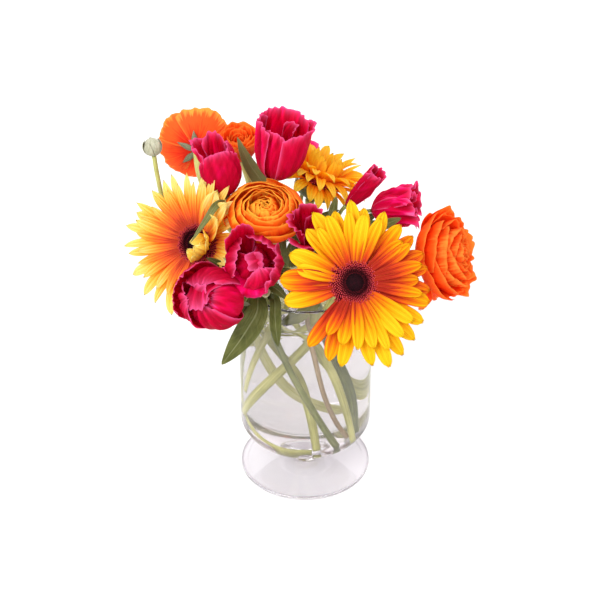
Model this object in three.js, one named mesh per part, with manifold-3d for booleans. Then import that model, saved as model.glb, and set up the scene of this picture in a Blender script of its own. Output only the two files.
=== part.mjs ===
// A mixed bouquet standing in a footed glass vase of water.
//
// Millimetres, +Z up. The origin is on the vase's axis, at the underside of its foot.
// The bouquet is arranged to be seen from -Y, with +X to the viewer's right. It holds three
// gerberas, four ranunculus flowers and a ranunculus bud, and three branched sprays of godetia
// with eight blooms, two buds and nine leaves. Every stem stands on the vase's bowl.

import * as THREE from "three";
import { mergeVertices } from "three/addons/utils/BufferGeometryUtils.js";
import Module from "manifold-3d";

const wasm = await Module();
wasm.setup();

// ---------------------------------------------------------------- driving dimensions

// Vase: a straight cylinder on a half-ellipsoid bottom, a short stem and a shallow conical foot.
const VASE_RADIUS = 48;
const VASE_HEIGHT = 168.5;
const WALL = 3;
const BOWL_TOP = 46;
const BOWL_DEPTH = 24.3;
const BOWL_FLOOR = 4.8;
const NECK_RADIUS = 9;
const NECK_LOW = 9;
const NECK_HIGH = 20.5;
const FOOT_RADIUS = 47.3;
const FOOT_EDGE = 2.6;
const FOOT_RISE = 7.4;
const VASE_SIDES = 32;

// Water and the gap that touching pieces keep.
const WATER_LEVEL = 149;
const GAP = 0.3;
const SEAT_GAP = 0.6;

// Stems.
const GERBERA_STEM = 3.1;
const RANUNCULUS_STEM = 2.4;
const BUD_STEM = 1.6;
const SPRAY_STEM = 2.3;
const SPRAY_TWIG = 1.4;
const STEM_SIDES = 6;
const STEP_LENGTH = 16;

// Flower heads.
const DISC_RADIUS = 14.9;
const RAY_THICKNESS = 1.2;
const BRACT_DEPTH = 12;
const PETAL_THICKNESS = 1.1;

// Leaves turn their faces this way, out of the bouquet's front and up.
const LEAF_FACING = new THREE.Vector3(0, -1, 0.4);
const LEAF_THICKNESS = 1.2;

// ---------------------------------------------------------------- materials

const finish = (color, roughness, extra = {}) =>
  new THREE.MeshStandardMaterial({ color, roughness, metalness: 0, ...extra });

const MATERIALS = {
  glass: () => finish(0xe8e4ee, 0.05, { transparent: true, opacity: 0.35 }),
  water: () => finish(0xdfe8e4, 0.03, { transparent: true, opacity: 0.3 }),
  paleStem: () => finish(0xb7bf78, 0.5),
  darkStem: () => finish(0x66733c, 0.55),
  bract: () => finish(0x7d8a48, 0.6),
  ray: () => finish(0xf6a51b, 0.55),
  innerRay: () => finish(0xfabe2a, 0.55),
  floret: () => finish(0x4b1420, 0.8),
  orangePetal: () => finish(0xf3681a, 0.5),
  heart: () => finish(0xf58a2a, 0.5),
  sepal: () => finish(0x8b9160, 0.65),
  pinkPetal: () => finish(0xd3124e, 0.45),
  leaf: () => finish(0x666f3a, 0.6),
  bud: () => finish(0xa7a582, 0.7),
};

// ---------------------------------------------------------------- geometry helpers

const bouquet = new THREE.Group();
const vector = (point) => new THREE.Vector3(...point);

function add(name, geometry, material, parent = bouquet) {
  const mesh = new THREE.Mesh(geometry, MATERIALS[material]());
  mesh.name = name;
  parent.add(mesh);
  return mesh;
}

// A closed solid for joining and cutting, from a closed geometry.
function toSolid(geometry) {
  const bare = new THREE.BufferGeometry();
  const source = geometry.index ? geometry.toNonIndexed() : geometry;
  bare.setAttribute("position", source.getAttribute("position").clone());
  const merged = mergeVertices(bare, 1e-3);
  return new wasm.Manifold(
    new wasm.Mesh({
      numProp: 3,
      vertProperties: merged.attributes.position.array,
      triVerts: new Uint32Array(merged.index.array),
    }),
  );
}

function toGeometry(solid) {
  const mesh = solid.getMesh();
  return new THREE.BufferGeometry()
    .setAttribute("position", new THREE.BufferAttribute(mesh.vertProperties, 3))
    .setIndex(new THREE.BufferAttribute(mesh.triVerts, 1));
}

// Turns a profile of [radius, height] points round +Z, then lets `form` move each vertex:
// form(radius, angle, height) returns the new [radius, height].
function turned(profile, sides, form = null) {
  const points = profile.map(([radius, height]) => new THREE.Vector2(radius, height));
  const geometry = new THREE.LatheGeometry(points, sides).rotateX(Math.PI / 2);
  if (!form) return geometry;
  const place = geometry.getAttribute("position");
  for (let i = 0; i < place.count; i++) {
    const radius = Math.hypot(place.getX(i), place.getY(i));
    const angle = Math.atan2(place.getY(i), place.getX(i));
    const [newRadius, newHeight] = form(radius, angle, place.getZ(i));
    place.setXYZ(i, newRadius * Math.cos(angle), newRadius * Math.sin(angle), newHeight);
  }
  return geometry;
}

// A round bar along a smooth curve through the points.
function tube(points, radius, stepLength = STEP_LENGTH) {
  const curve = new THREE.CatmullRomCurve3(points, false, "centripetal");
  const section = new THREE.Shape();
  for (let i = 0; i < STEM_SIDES; i++) {
    const angle = (i / STEM_SIDES) * 2 * Math.PI;
    const corner = [radius * Math.cos(angle), radius * Math.sin(angle)];
    if (i === 0) section.moveTo(...corner);
    else section.lineTo(...corner);
  }
  return new THREE.ExtrudeGeometry(section, {
    steps: Math.max(3, Math.round(curve.getLength() / stepLength)),
    bevelEnabled: false,
    extrudePath: curve,
  });
}

// ---------------------------------------------------------------- vase and water

const bowlInnerDepth = BOWL_DEPTH - BOWL_FLOOR;

// Points of a bowl: a quarter ellipse from the axis out to `radius`, then up to the rim.
function bowlLine(radius, depth, top, count) {
  const line = [];
  for (let i = 0; i <= count; i++) {
    const angle = (i / count) * (Math.PI / 2);
    line.push([radius * Math.sin(angle), BOWL_TOP - depth * Math.cos(angle)]);
  }
  line.push([radius, top]);
  return line;
}

function buildVase() {
  const outer = bowlLine(VASE_RADIUS, BOWL_DEPTH, VASE_HEIGHT - 1, 6).slice(1);
  const inner = bowlLine(VASE_RADIUS - WALL, bowlInnerDepth, VASE_HEIGHT - 0.8, 6).reverse();
  const profile = [
    [0, 0],
    [FOOT_RADIUS - 1.5, 0],
    [FOOT_RADIUS, 1.2],
    [FOOT_RADIUS - 0.4, FOOT_EDGE],
    [NECK_RADIUS + 9, FOOT_RISE - 1],
    [NECK_RADIUS + 1, NECK_LOW],
    [NECK_RADIUS - 0.6, (NECK_LOW + NECK_HIGH) / 2],
    [NECK_RADIUS + 0.5, NECK_HIGH],
    ...outer,
    [VASE_RADIUS - WALL / 2, VASE_HEIGHT],
    ...inner,
  ];
  add("vase", turned(profile, VASE_SIDES), "glass");
}

// How far a point lies inside the bowl's inner surface.
function bowlClearance(point) {
  const radius = Math.hypot(point.x, point.y);
  const wallRadius = VASE_RADIUS - WALL;
  if (point.z >= BOWL_TOP) return wallRadius - radius;
  const across = radius / wallRadius;
  const down = (BOWL_TOP - point.z) / bowlInnerDepth;
  const level = Math.hypot(across, down);
  const slope = Math.hypot(across / wallRadius, down / bowlInnerDepth) / level;
  return (1 - level) / slope;
}

// Slides a stem's cut end along the stem's own direction until its edge rests on the bowl.
function seatEnd(points, radius) {
  const end = points[points.length - 1].clone();
  const before = points[points.length - 2];
  const along = end.clone().sub(before).normalize();
  const side = new THREE.Vector3(0, 0, 1).cross(along).normalize().multiplyScalar(radius);
  const other = side.clone().cross(along);
  const edge = [side, other, side.clone().negate(), other.clone().negate()];
  const gapAt = (centre) => Math.min(...edge.map((arm) => bowlClearance(centre.clone().add(arm))));
  for (let pass = 0; pass < 40; pass++) {
    end.addScaledVector(along, 0.7 * (gapAt(end) - SEAT_GAP));
  }
  return [...points.slice(0, -1), end];
}

// ---------------------------------------------------------------- stems

const stems = {};

// The head's frame: +Z faces the way the flower looks, +Y is up, +X is to its viewer's right.
function headFrame(centre, facing) {
  const forward = vector(facing).normalize();
  const right = new THREE.Vector3(0, 0, 1).cross(forward).normalize();
  const up = forward.clone().cross(right);
  const group = new THREE.Group();
  group.quaternion.setFromRotationMatrix(new THREE.Matrix4().makeBasis(right, up, forward));
  group.position.copy(vector(centre));
  bouquet.add(group);
  return { group, forward, behind: (depth) => vector(centre).addScaledVector(forward, -depth) };
}

// A stem of one flower: it leaves the head straight, follows the route and stands on the bowl.
function headStem(name, head, depth, radius, material, route) {
  const start = [head.behind(depth), head.behind(depth + 4 * radius)];
  const points = seatEnd([...start, ...route.map(vector)], radius);
  stems[name] = { points, radius };
  add(name, tube(points, radius), material);
}

// A branched spray: a main stem on the bowl with a twig to each bloom, all one piece.
function sprayStem(name, route, twigs) {
  const points = seatEnd(route.map(vector), SPRAY_STEM);
  stems[name] = { points, radius: SPRAY_STEM };
  let solid = toSolid(tube(points, SPRAY_STEM));
  for (const [twigName, twigRoute] of Object.entries(twigs)) {
    const twig = twigRoute.map(vector);
    stems[twigName] = { points: twig, radius: SPRAY_TWIG };
    solid = solid.add(toSolid(tube(twig, SPRAY_TWIG, STEP_LENGTH / 2)));
  }
  add(name, toGeometry(solid), "darkStem");
}

// Water fills the bowl to its level and leaves room for every stem that stands in it.
function buildWater() {
  const line = bowlLine(VASE_RADIUS - WALL - GAP, bowlInnerDepth - GAP, WATER_LEVEL, 6);
  let solid = toSolid(turned([...line, [0, WATER_LEVEL]], VASE_SIDES));
  for (const { points, radius } of Object.values(stems)) {
    if (points[points.length - 1].z > WATER_LEVEL) continue;
    const last = points.length - 1;
    const beyond = points[last].clone().sub(points[last - 1]).setLength(GAP).add(points[last]);
    const wetted = [...points.slice(0, -1), beyond];
    solid = solid.subtract(toSolid(tube(wetted, radius + GAP / Math.cos(Math.PI / STEM_SIDES))));
  }
  add("water", toGeometry(solid), "water");
}

// ---------------------------------------------------------------- flower heads

const degrees = (angle) => (angle * Math.PI) / 180;

// A whorl of ray petals joined under the disc, with a lobe of its edge to each petal.
// `reach(angle)` scales the petals' length, for those that neighbours keep short.
function rayWhorl({ petals, length, lift, cup, turn = 0, reach = () => 1 }) {
  const middle = (DISC_RADIUS + length) / 2;
  const half = RAY_THICKNESS / 2;
  const profile = [
    [0, -half],
    [DISC_RADIUS, -half],
    [middle, -half],
    [length, 0],
    [middle, half],
    [DISC_RADIUS, half],
    [0, half],
  ];
  const rise = Math.tan(degrees(cup));
  return turned(profile, petals * 4, (radius, angle, height) => {
    const lobe = 0.55 + 0.45 * Math.abs(Math.cos((petals * (angle - turn)) / 2)) ** 0.7;
    const out = Math.max(0, radius - DISC_RADIUS) * lobe * reach(angle);
    return [Math.min(radius, DISC_RADIUS) + out, height + lift + rise * out];
  });
}

// A gerbera: stem, cup of green bracts, two whorls of rays and a raised disc of florets.
function gerbera(name, spec) {
  const head = headFrame(spec.centre, spec.facing);
  const half = RAY_THICKNESS / 2;
  const bractTop = -RAY_THICKNESS - 2 * GAP;
  const bracts = [
    [0, -BRACT_DEPTH],
    [GERBERA_STEM + 1, -BRACT_DEPTH],
    [DISC_RADIUS - 2, bractTop - 4],
    [DISC_RADIUS + 3, bractTop],
    [0, bractTop],
  ];
  const discBase = RAY_THICKNESS + GAP;
  const disc = [
    [0, discBase],
    [DISC_RADIUS - 1, discBase],
    [DISC_RADIUS - 0.5, discBase + 1.2],
    [DISC_RADIUS - 5, discBase + 3.4],
    [4.5, discBase + 2.2],
    [0, discBase + 2.8],
  ];
  const { outer, inner, cup, petals, reach } = spec;
  const low = { petals, length: outer, lift: -half - GAP, cup, reach };
  const high = { petals, length: inner, lift: half, cup, reach, turn: Math.PI / petals };
  headStem(`${name}_stem`, head, BRACT_DEPTH + GAP, GERBERA_STEM, "paleStem", spec.route);
  add(`${name}_bracts`, turned(bracts, 12), "bract", head.group);
  add(`${name}_outer_rays`, rayWhorl(low), "ray", head.group);
  add(`${name}_inner_rays`, rayWhorl(high), "innerRay", head.group);
  add(`${name}_florets`, turned(disc, 16), "floret", head.group);
}

// A cup of petals: it widens from its foot to its mouth and has a waved, lobed edge.
// `bulge` above 1 fills the sides out, and `flare` opens the mouth outwards.
function petalCup({ foot, mouth, depth, lobes, wave = 0.12, bulge = 1, flare = 0, sides = 20 }) {
  const rings = [0, 0.25, 0.55, 1];
  const radiusAt = (t) => foot + (mouth - foot) * (t ** (1 / bulge) + flare * t * (t - 1));
  const outside = rings.map((t) => [radiusAt(t), depth * t]);
  const inside = rings.map((t) => [
    Math.max(radiusAt(t) - PETAL_THICKNESS, 0.6),
    PETAL_THICKNESS + (depth - PETAL_THICKNESS) * t,
  ]);
  const profile = [[0, 0], ...outside, ...inside.reverse(), [0, PETAL_THICKNESS]];
  return turned(profile, sides, (radius, angle, height) => {
    const up = height / depth;
    const lobe = Math.abs(Math.cos((lobes * angle) / 2));
    return [radius * (1 - wave * up * (1 - lobe)), height * (1 - wave * up * (1 - lobe))];
  });
}

// Small pointed sepals under a flower, joined into a five-pointed saucer.
function sepalSaucer(radius, depth) {
  const profile = [
    [0, -depth],
    [RANUNCULUS_STEM + 0.6, -depth],
    [radius, -0.6],
    [radius * 0.5, 0],
    [0, 0],
  ];
  return turned(profile, 20, (r, angle, height) => {
    const point = 0.45 + 0.55 * Math.abs(Math.cos(2.5 * angle));
    return [r > radius * 0.8 ? r * point : r, height];
  });
}

// A ranunculus: stem, sepals, a cup of outer petals, an inner cup and the tight heart.
function ranunculus(name, spec) {
  const head = headFrame(spec.centre, spec.facing);
  const sepalDepth = 3.2;
  const base = -spec.depth;
  const stemDepth = spec.depth + GAP + (spec.sepals ? sepalDepth + GAP : 0);
  headStem(`${name}_stem`, head, stemDepth, RANUNCULUS_STEM, "paleStem", spec.route);
  if (spec.sepals) {
    const saucer = sepalSaucer(spec.sepals, sepalDepth).translate(0, 0, base - GAP);
    add(`${name}_sepals`, saucer, "sepal", head.group);
  }
  const outer = petalCup(spec.outer).translate(0, 0, base);
  add(`${name}_outer_petals`, outer, "orangePetal", head.group);
  let seat = base + PETAL_THICKNESS + GAP;
  if (spec.inner) {
    const inner = petalCup(spec.inner).translate(0, 0, seat);
    add(`${name}_inner_petals`, inner, "orangePetal", head.group);
    seat += PETAL_THICKNESS + GAP;
  }
  const { heart, heartHeight } = spec;
  const ball = [
    [0, 0],
    [heart * 0.15, 0],
    [heart * 0.5, heartHeight * 0.2],
    [heart * 0.88, heartHeight * 0.5],
    [heart, heartHeight * 0.72],
    [heart * 0.7, heartHeight * 0.95],
    [0, heartHeight],
  ];
  add(`${name}_heart`, turned(ball, 16).translate(0, 0, seat), "heart", head.group);
}

// The frame of whatever stands on the end of a twig or stem, a gap beyond it.
function twigEnd(stemName) {
  const { points } = stems[stemName];
  const tip = points[points.length - 1];
  const along = tip.clone().sub(points[points.length - 2]).normalize();
  return headFrame(tip.clone().addScaledVector(along, GAP).toArray(), along.toArray());
}

// A godetia bloom that stands on the end of its twig.
function godetia(name, twigName, cup) {
  const head = twigEnd(twigName);
  add(name, petalCup({ foot: SPRAY_TWIG + 1.1, lobes: 4, sides: 16, ...cup }), "pinkPetal", head.group);
}

// A collar of sepals turned back round the end of a twig, below its bloom.
function calyx(name, twigName) {
  const collar = SPRAY_TWIG + GAP + 0.1;
  const spread = 6;
  const profile = [
    [collar, -1.2],
    [spread, -6],
    [spread + 0.5, -5.2],
    [collar + 0.6, -GAP],
    [collar, -GAP],
    [collar, -1.2],
  ];
  const pointed = turned(profile, 16, (radius, angle, height) => {
    const point = 0.5 + 0.5 * Math.abs(Math.cos(2 * angle));
    return radius > spread - 1 ? [radius * point, height * point] : [radius, height];
  });
  add(name, pointed, "sepal", twigEnd(twigName).group);
}

// A closed bud: a pointed egg on the end of its twig or stem.
function bud(name, stemName, radius, length, material) {
  const head = twigEnd(stemName);
  const profile = [
    [0, 0],
    [radius * 0.5, 0],
    [radius * 0.95, length * 0.3],
    [radius, length * 0.5],
    [radius * 0.65, length * 0.8],
    [0, length],
  ];
  add(name, turned(profile, 10), material, head.group);
}

// ---------------------------------------------------------------- leaves

// A lanceolate leaf: a flattened egg drawn out along a curve that starts at its stem's surface.
function leaf(name, stemName, at, width, route) {
  const { points, radius } = stems[stemName];
  const stemCurve = new THREE.CatmullRomCurve3(points, false, "centripetal");
  const root = stemCurve.getPoint(at);
  const out = vector(route[0]).sub(root).normalize();
  root.addScaledVector(out, radius + 2 * GAP);
  const midrib = new THREE.CatmullRomCurve3([root, ...route.map(vector)], false, "centripetal");
  const geometry = new THREE.SphereGeometry(1, 6, 8);
  const place = geometry.getAttribute("position");
  for (let i = 0; i < place.count; i++) {
    const t = (1 - place.getY(i)) / 2;
    const centre = midrib.getPointAt(t);
    const along = midrib.getTangentAt(t);
    const across = along.clone().cross(LEAF_FACING).normalize();
    const face = along.clone().cross(across);
    centre.addScaledVector(across, (place.getX(i) * width) / 2);
    centre.addScaledVector(face, (place.getZ(i) * LEAF_THICKNESS) / 2);
    place.setXYZ(i, centre.x, centre.y, centre.z);
  }
  add(name, geometry, "leaf");
}

// ---------------------------------------------------------------- the bouquet

buildVase();

gerbera("gerbera_front", {
  centre: [32, -75, 212],
  facing: [0.17, -0.8, 0.575],
  outer: 55,
  inner: 47,
  petals: 16,
  cup: 6,
  route: [
    [22, -35, 177],
    [12, -24, 148],
    [-2, -19, 122],
    [-22, -14, 88],
    [-38, -9, 58],
  ],
});

// The left gerbera's petals are short on the side where the godetia and the ranunculus crowd it.
gerbera("gerbera_left", {
  centre: [-74, -30, 214],
  facing: [-0.45, -0.7, 0.55],
  outer: 49,
  inner: 42,
  petals: 16,
  cup: 20,
  reach: (angle) => 1 - 0.65 * Math.max(0, Math.cos(angle - degrees(20)) - 0.05) ** 0.45,
  route: [
    [-45, -9, 179],
    [-38, -9, 166],
    [-31, -7, 140],
    [-21, 0, 105],
    [-7, 14, 70],
    [9, 33, 42],
  ],
});

gerbera("gerbera_back", {
  centre: [8, 28, 226],
  facing: [0.4, 0.3, 0.87],
  outer: 34,
  inner: 30,
  petals: 13,
  cup: 32,
  route: [
    [2, 26, 182],
    [9, 29, 158],
    [16, 29, 130],
    [25, 26, 90],
    [33, 19, 54],
  ],
});

ranunculus("ranunculus_middle", {
  centre: [-28, -30, 243],
  facing: [0, -0.5, 0.87],
  depth: 16,
  sepals: 12,
  outer: { foot: 5, mouth: 28, depth: 17, lobes: 6, bulge: 1.9, wave: 0.07 },
  inner: { foot: 4, mouth: 24, depth: 19, lobes: 5, bulge: 1.9, wave: 0.07 },
  heart: 15,
  heartHeight: 20,
  route: [
    [-24, -6, 196],
    [-17, 0, 170],
    [-2, 2, 135],
    [12, -4, 100],
    [24, -16, 65],
    [31, -23, 42],
  ],
});

ranunculus("ranunculus_right", {
  centre: [96, -27, 202.5],
  facing: [0.75, -0.49, 0.44],
  depth: 15,
  sepals: 12,
  outer: { foot: 5, mouth: 32.5, depth: 16, lobes: 6, bulge: 1.8, wave: 0.1 },
  inner: { foot: 4, mouth: 25, depth: 19, lobes: 5, bulge: 1.8, wave: 0.1 },
  heart: 14,
  heartHeight: 20,
  route: [
    [40, -3, 169],
    [14, 11, 140],
    [-16, 20, 110],
    [-36, 20, 88],
  ],
});

// This one nods away from the viewer, so its open face looks back.
ranunculus("ranunculus_nodding", {
  centre: [-77.4, 53, 242.4],
  facing: [-0.05, 0.99, -0.05],
  depth: 5,
  sepals: 13,
  outer: { foot: 6, mouth: 28, depth: 12, lobes: 5, bulge: 1.25, wave: 0.1 },
  heart: 6,
  heartHeight: 6,
  route: [
    [-74, 27, 234],
    [-62, 22, 205],
    [-36, 17, 172],
    [-26, 15, 140],
    [-14, 11, 110],
    [-4, 6, 88],
    [2, -3, 60],
    [6, -15, 34],
  ],
});

ranunculus("ranunculus_small", {
  centre: [-46, 36, 252],
  facing: [-0.1, -0.2, 0.97],
  depth: 12,
  outer: { foot: 4, mouth: 14, depth: 22, lobes: 5, bulge: 1.8, wave: 0.12, sides: 15 },
  heart: 8,
  heartHeight: 16,
  route: [
    [-34, 37, 202],
    [-20, 31, 170],
    [-8, 31, 140],
    [0, 32, 110],
    [10, 32, 78],
    [19, 33, 46],
  ],
});

// The bud's slender stem is longer than the vase is deep, so its end lies along the bowl.
const budRoute = [
  [-105, 20, 254],
  [-103, 18, 238],
  [-98, 15, 214],
  [-85, 11, 194],
  [-58, 5, 182],
  [-39, 3, 168],
  [-32, 6, 135],
  [-29, 10, 105],
  [-32, 9, 74],
  [-36, -2, 51],
  [-30, -17, 41],
  [-14, -27, 36],
  [4, -30, 36.5],
];
stems.ranunculus_bud_stem = { points: budRoute.map(vector), radius: BUD_STEM };
add("ranunculus_bud_stem", tube(budRoute.map(vector), BUD_STEM), "paleStem");
stems.bud_tip = { points: budRoute.slice(0, 2).reverse().map(vector), radius: BUD_STEM };
bud("ranunculus_bud", "bud_tip", 6, 12, "bud");

sprayStem(
  "godetia_left_stem",
  [
    [-34, -37, 188],
    [-27, -29, 168],
    [-20, -27, 140],
    [-10, -30, 110],
    [2, -29, 80],
    [12, -23, 52],
    [17, -15, 34],
  ],
  {
    tulip_twig: [
      [-33, -35, 185],
      [-38, -24, 198],
      [-50, -13, 222],
      [-54, -9.5, 239.5],
    ],
    open_twig: [
      [-33, -36, 186],
      [-37, -44, 196],
      [-38.2, -48.6, 204.6],
      [-37.2, -53.6, 209.6],
    ],
    low_twig: [
      [-33, -36, 186],
      [-39, -47, 184],
      [-44, -57, 182.5],
      [-48.4, -61.5, 186.5],
    ],
    bud_twig: [
      [-33, -36, 186],
      [-31, -46, 192],
      [-29, -54, 193],
    ],
    young_bud_twig: [
      [-33, -36, 186],
      [-35, -48, 190],
      [-37, -56, 192],
    ],
  },
);

sprayStem(
  "godetia_middle_stem",
  [
    [-4, 8, 188],
    [0, 16, 166],
    [3, 22, 143],
    [7, 24, 120],
    [13, 21, 90],
    [20, 13, 60],
    [24, 5, 38],
  ],
  {
    tall_twig: [
      [-3, 10, 184],
      [-17, 6, 202],
      [-25, 5, 226],
      [-22, 6, 243],
    ],
    rear_twig: [
      [-2, 12, 180],
      [-5, 34, 184],
      [-3, 63, 192],
      [-1, 66, 203],
    ],
    folded_twig: [
      [-4, 8, 186],
      [-4, -16, 190],
      [0, -40, 202],
      [1, -43, 216],
    ],
  },
);

sprayStem(
  "godetia_right_stem",
  [
    [28, 15, 190],
    [28, 22, 168],
    [30, 20, 120],
    [34, 13, 85],
    [39, 2, 60],
    [40, -5, 50],
  ],
  {
    rolled_twig: [
      [28, 16, 187],
      [22, 8, 206],
      [25, 1, 221],
      [28, 0, 225.5],
    ],
    side_twig: [
      [28, 15, 188],
      [31, 15, 203],
      [39, 14.5, 211],
      [46, 14, 212.5],
    ],
  },
);

godetia("godetia_tulip_bloom", "tulip_twig", { mouth: 15, depth: 40, bulge: 2, flare: -1, wave: 0.1 });
godetia("godetia_tall_bloom", "tall_twig", { mouth: 23, depth: 46, bulge: 1.5, flare: -0.3 });
godetia("godetia_rear_bloom", "rear_twig", { mouth: 11, depth: 28, bulge: 1.4, wave: 0.2 });
godetia("godetia_rolled_bloom", "rolled_twig", { mouth: 7, depth: 40, bulge: 1.5, wave: 0.15 });
godetia("godetia_side_bloom", "side_twig", { mouth: 16, depth: 34, bulge: 1.4, wave: 0.15 });
godetia("godetia_folded_bloom", "folded_twig", { mouth: 9, depth: 31, bulge: 1.5, wave: 0.2 });
godetia("godetia_open_bloom", "open_twig", { mouth: 19, depth: 20, bulge: 1.1, wave: 0.2 });
godetia("godetia_low_bloom", "low_twig", { mouth: 22, depth: 34, bulge: 1.4, wave: 0.15 });

bud("godetia_bud", "bud_twig", 3.6, 11, "bud");
bud("godetia_young_bud", "young_bud_twig", 2.6, 9, "bud");
calyx("godetia_tulip_calyx", "tulip_twig");
calyx("godetia_low_calyx", "low_twig");

leaf("leaf_tall", "tall_twig", 0.35, 12, [
  [-20, 17, 213],
  [-28, 18, 230],
  [-39, 19, 248],
  [-47, 19, 269],
]);
leaf("leaf_crossing", "tulip_twig", 0.75, 6.5, [
  [-58.5, -29.5, 246.5],
  [-67, -43, 241],
  [-77, -50, 228],
]);
leaf("leaf_hanging", "godetia_left_stem", 0.06, 16, [
  [-30, -48, 180],
  [-40, -58, 162],
  [-58, -64, 136],
]);
leaf("leaf_narrow", "godetia_left_stem", 0.13, 9, [
  [-22, -43, 179],
  [-21, -53, 166],
  [-19, -54, 144],
]);
leaf("leaf_dipping", "folded_twig", 0.4, 11, [
  [8, -27, 176],
  [-1, -36, 161],
  [-20, -36, 151],
]);
leaf("leaf_upright", "rolled_twig", 0.4, 6, [
  [18, 1, 213],
  [21, -5, 236],
]);
leaf("leaf_inner", "folded_twig", 0.4, 10, [
  [9, -28, 196],
  [13, -45, 205],
  [7, -57, 218],
]);
leaf("leaf_front", "open_twig", 0.5, 9, [
  [-24, -54, 205],
  [-8, -58, 210],
]);
leaf("leaf_right", "side_twig", 0.6, 8, [
  [40, 6, 208],
  [52, -2, 211],
  [66, -6, 219],
]);

buildWater();

export default bouquet;
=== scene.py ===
"""Looks of a mixed bouquet in a footed glass vase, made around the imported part.

Metres, +Z up, with the shapes worked out in mm. The bouquet's front is towards -Y. Petals,
leaves and sepals are thin closed shells worked out on grids; stems and buds are rings carried
along a line; the vase and its water are profiles turned round the vase's axis. Flowers, stems
and leaves take their places from the corners of the CAD nodes that they replace.
"""

import bpy
import numpy as np
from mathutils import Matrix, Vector


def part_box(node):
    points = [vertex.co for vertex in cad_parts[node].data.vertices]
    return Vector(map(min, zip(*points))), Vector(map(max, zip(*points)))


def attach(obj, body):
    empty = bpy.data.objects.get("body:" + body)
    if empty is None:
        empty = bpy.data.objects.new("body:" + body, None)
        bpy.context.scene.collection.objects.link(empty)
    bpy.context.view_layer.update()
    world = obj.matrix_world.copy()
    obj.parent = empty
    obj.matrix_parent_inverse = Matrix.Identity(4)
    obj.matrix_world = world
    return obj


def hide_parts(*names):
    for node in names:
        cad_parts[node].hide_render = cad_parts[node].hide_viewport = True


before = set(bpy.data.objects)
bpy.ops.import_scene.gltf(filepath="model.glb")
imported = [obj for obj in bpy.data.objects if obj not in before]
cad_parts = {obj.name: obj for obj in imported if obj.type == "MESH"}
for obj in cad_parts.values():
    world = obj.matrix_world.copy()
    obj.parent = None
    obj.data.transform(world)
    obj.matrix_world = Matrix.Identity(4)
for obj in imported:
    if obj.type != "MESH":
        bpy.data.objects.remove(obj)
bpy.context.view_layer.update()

MM = 0.001
TURN = 2 * np.pi
GOLDEN_ANGLE = 137.508

# How thick each kind of sheet is in its middle, in mm, and what its edges lose of that.
RAY_THICK = 0.42
CUP_THICK = 0.4
SILK_THICK = 0.3
LEAF_THICK = 0.45
BRACT_THICK = 0.5
EDGE_LOSS = 0.66

# ------------------------------------------------------------------ vase and water, in mm

VASE_SIDES = 192
VASE_RADIUS = 48.0
WALL = 3.0
BOWL_TOP = 46.0
BOWL_DEPTH = 24.3
BOWL_FLOOR = 4.8
RIM_DROP = 1.2
NECK_RADIUS = 9.0
NECK_LOW = 9.0
NECK_HIGH = 20.5
NECK_HOLLOW = 1.5
FOOT_EDGE = 2.6
FOOT_RISE = 7.4
WATER_LEVEL = 149.0
# The water reaches this far into the glass, so that no air shows between the two.
WATER_OVERLAP = 0.15
MENISCUS_WIDTH = 4.0
MENISCUS_HEIGHT = 0.9
# Turned bodies stop this far from the axis, where a point closes them.
AXIS_GAP = 0.5


# ------------------------------------------------------------------ meshes

def spread(values, *shape):
    """Values as floats, repeated to fill the shape."""
    return np.broadcast_to(np.asarray(values, float), shape)


def block(points, faces, maps, **marks):
    """Points with the faces between them, their place on the sheet, and marks read by the finishes."""
    marks = {key: spread(value, len(points)) for key, value in marks.items()}
    return {"points": points, "faces": faces, "maps": maps, "marks": marks}


def stacked(faces, sheets, size):
    """The faces of one grid repeated for a stack of them, each grid with `size` points."""
    return (np.arange(sheets)[:, None, None] * size + faces).reshape(-1, faces.shape[1])


def grid_faces(sheets, rows, cols, wrap=False):
    """Four-cornered faces of a stack of grids, and each corner's place: across 0 to 1, along 0 to 1."""
    across = cols if wrap else cols - 1
    i, j = np.meshgrid(np.arange(rows - 1), np.arange(across), indexing="ij")
    i, j = i.ravel(), j.ravel()
    nexts = (j + 1) % cols
    one = np.stack([i * cols + j, i * cols + nexts, (i + 1) * cols + nexts, (i + 1) * cols + j], 1)
    u = np.stack([j, j + 1, j + 1, j], 1) / across
    v = np.stack([i, i, i + 1, i + 1], 1) / (rows - 1)
    return stacked(one, sheets, rows * cols), np.tile(np.stack([u, v], 2), (sheets, 1, 1))


def sheet_normals(points):
    """Unit normals of a stack of grids, from the cross product of the steps across and along."""
    normal = np.cross(np.gradient(points, axis=2), np.gradient(points, axis=1))
    return normal / np.maximum(np.linalg.norm(normal, axis=-1, keepdims=True), 1e-12)


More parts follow.
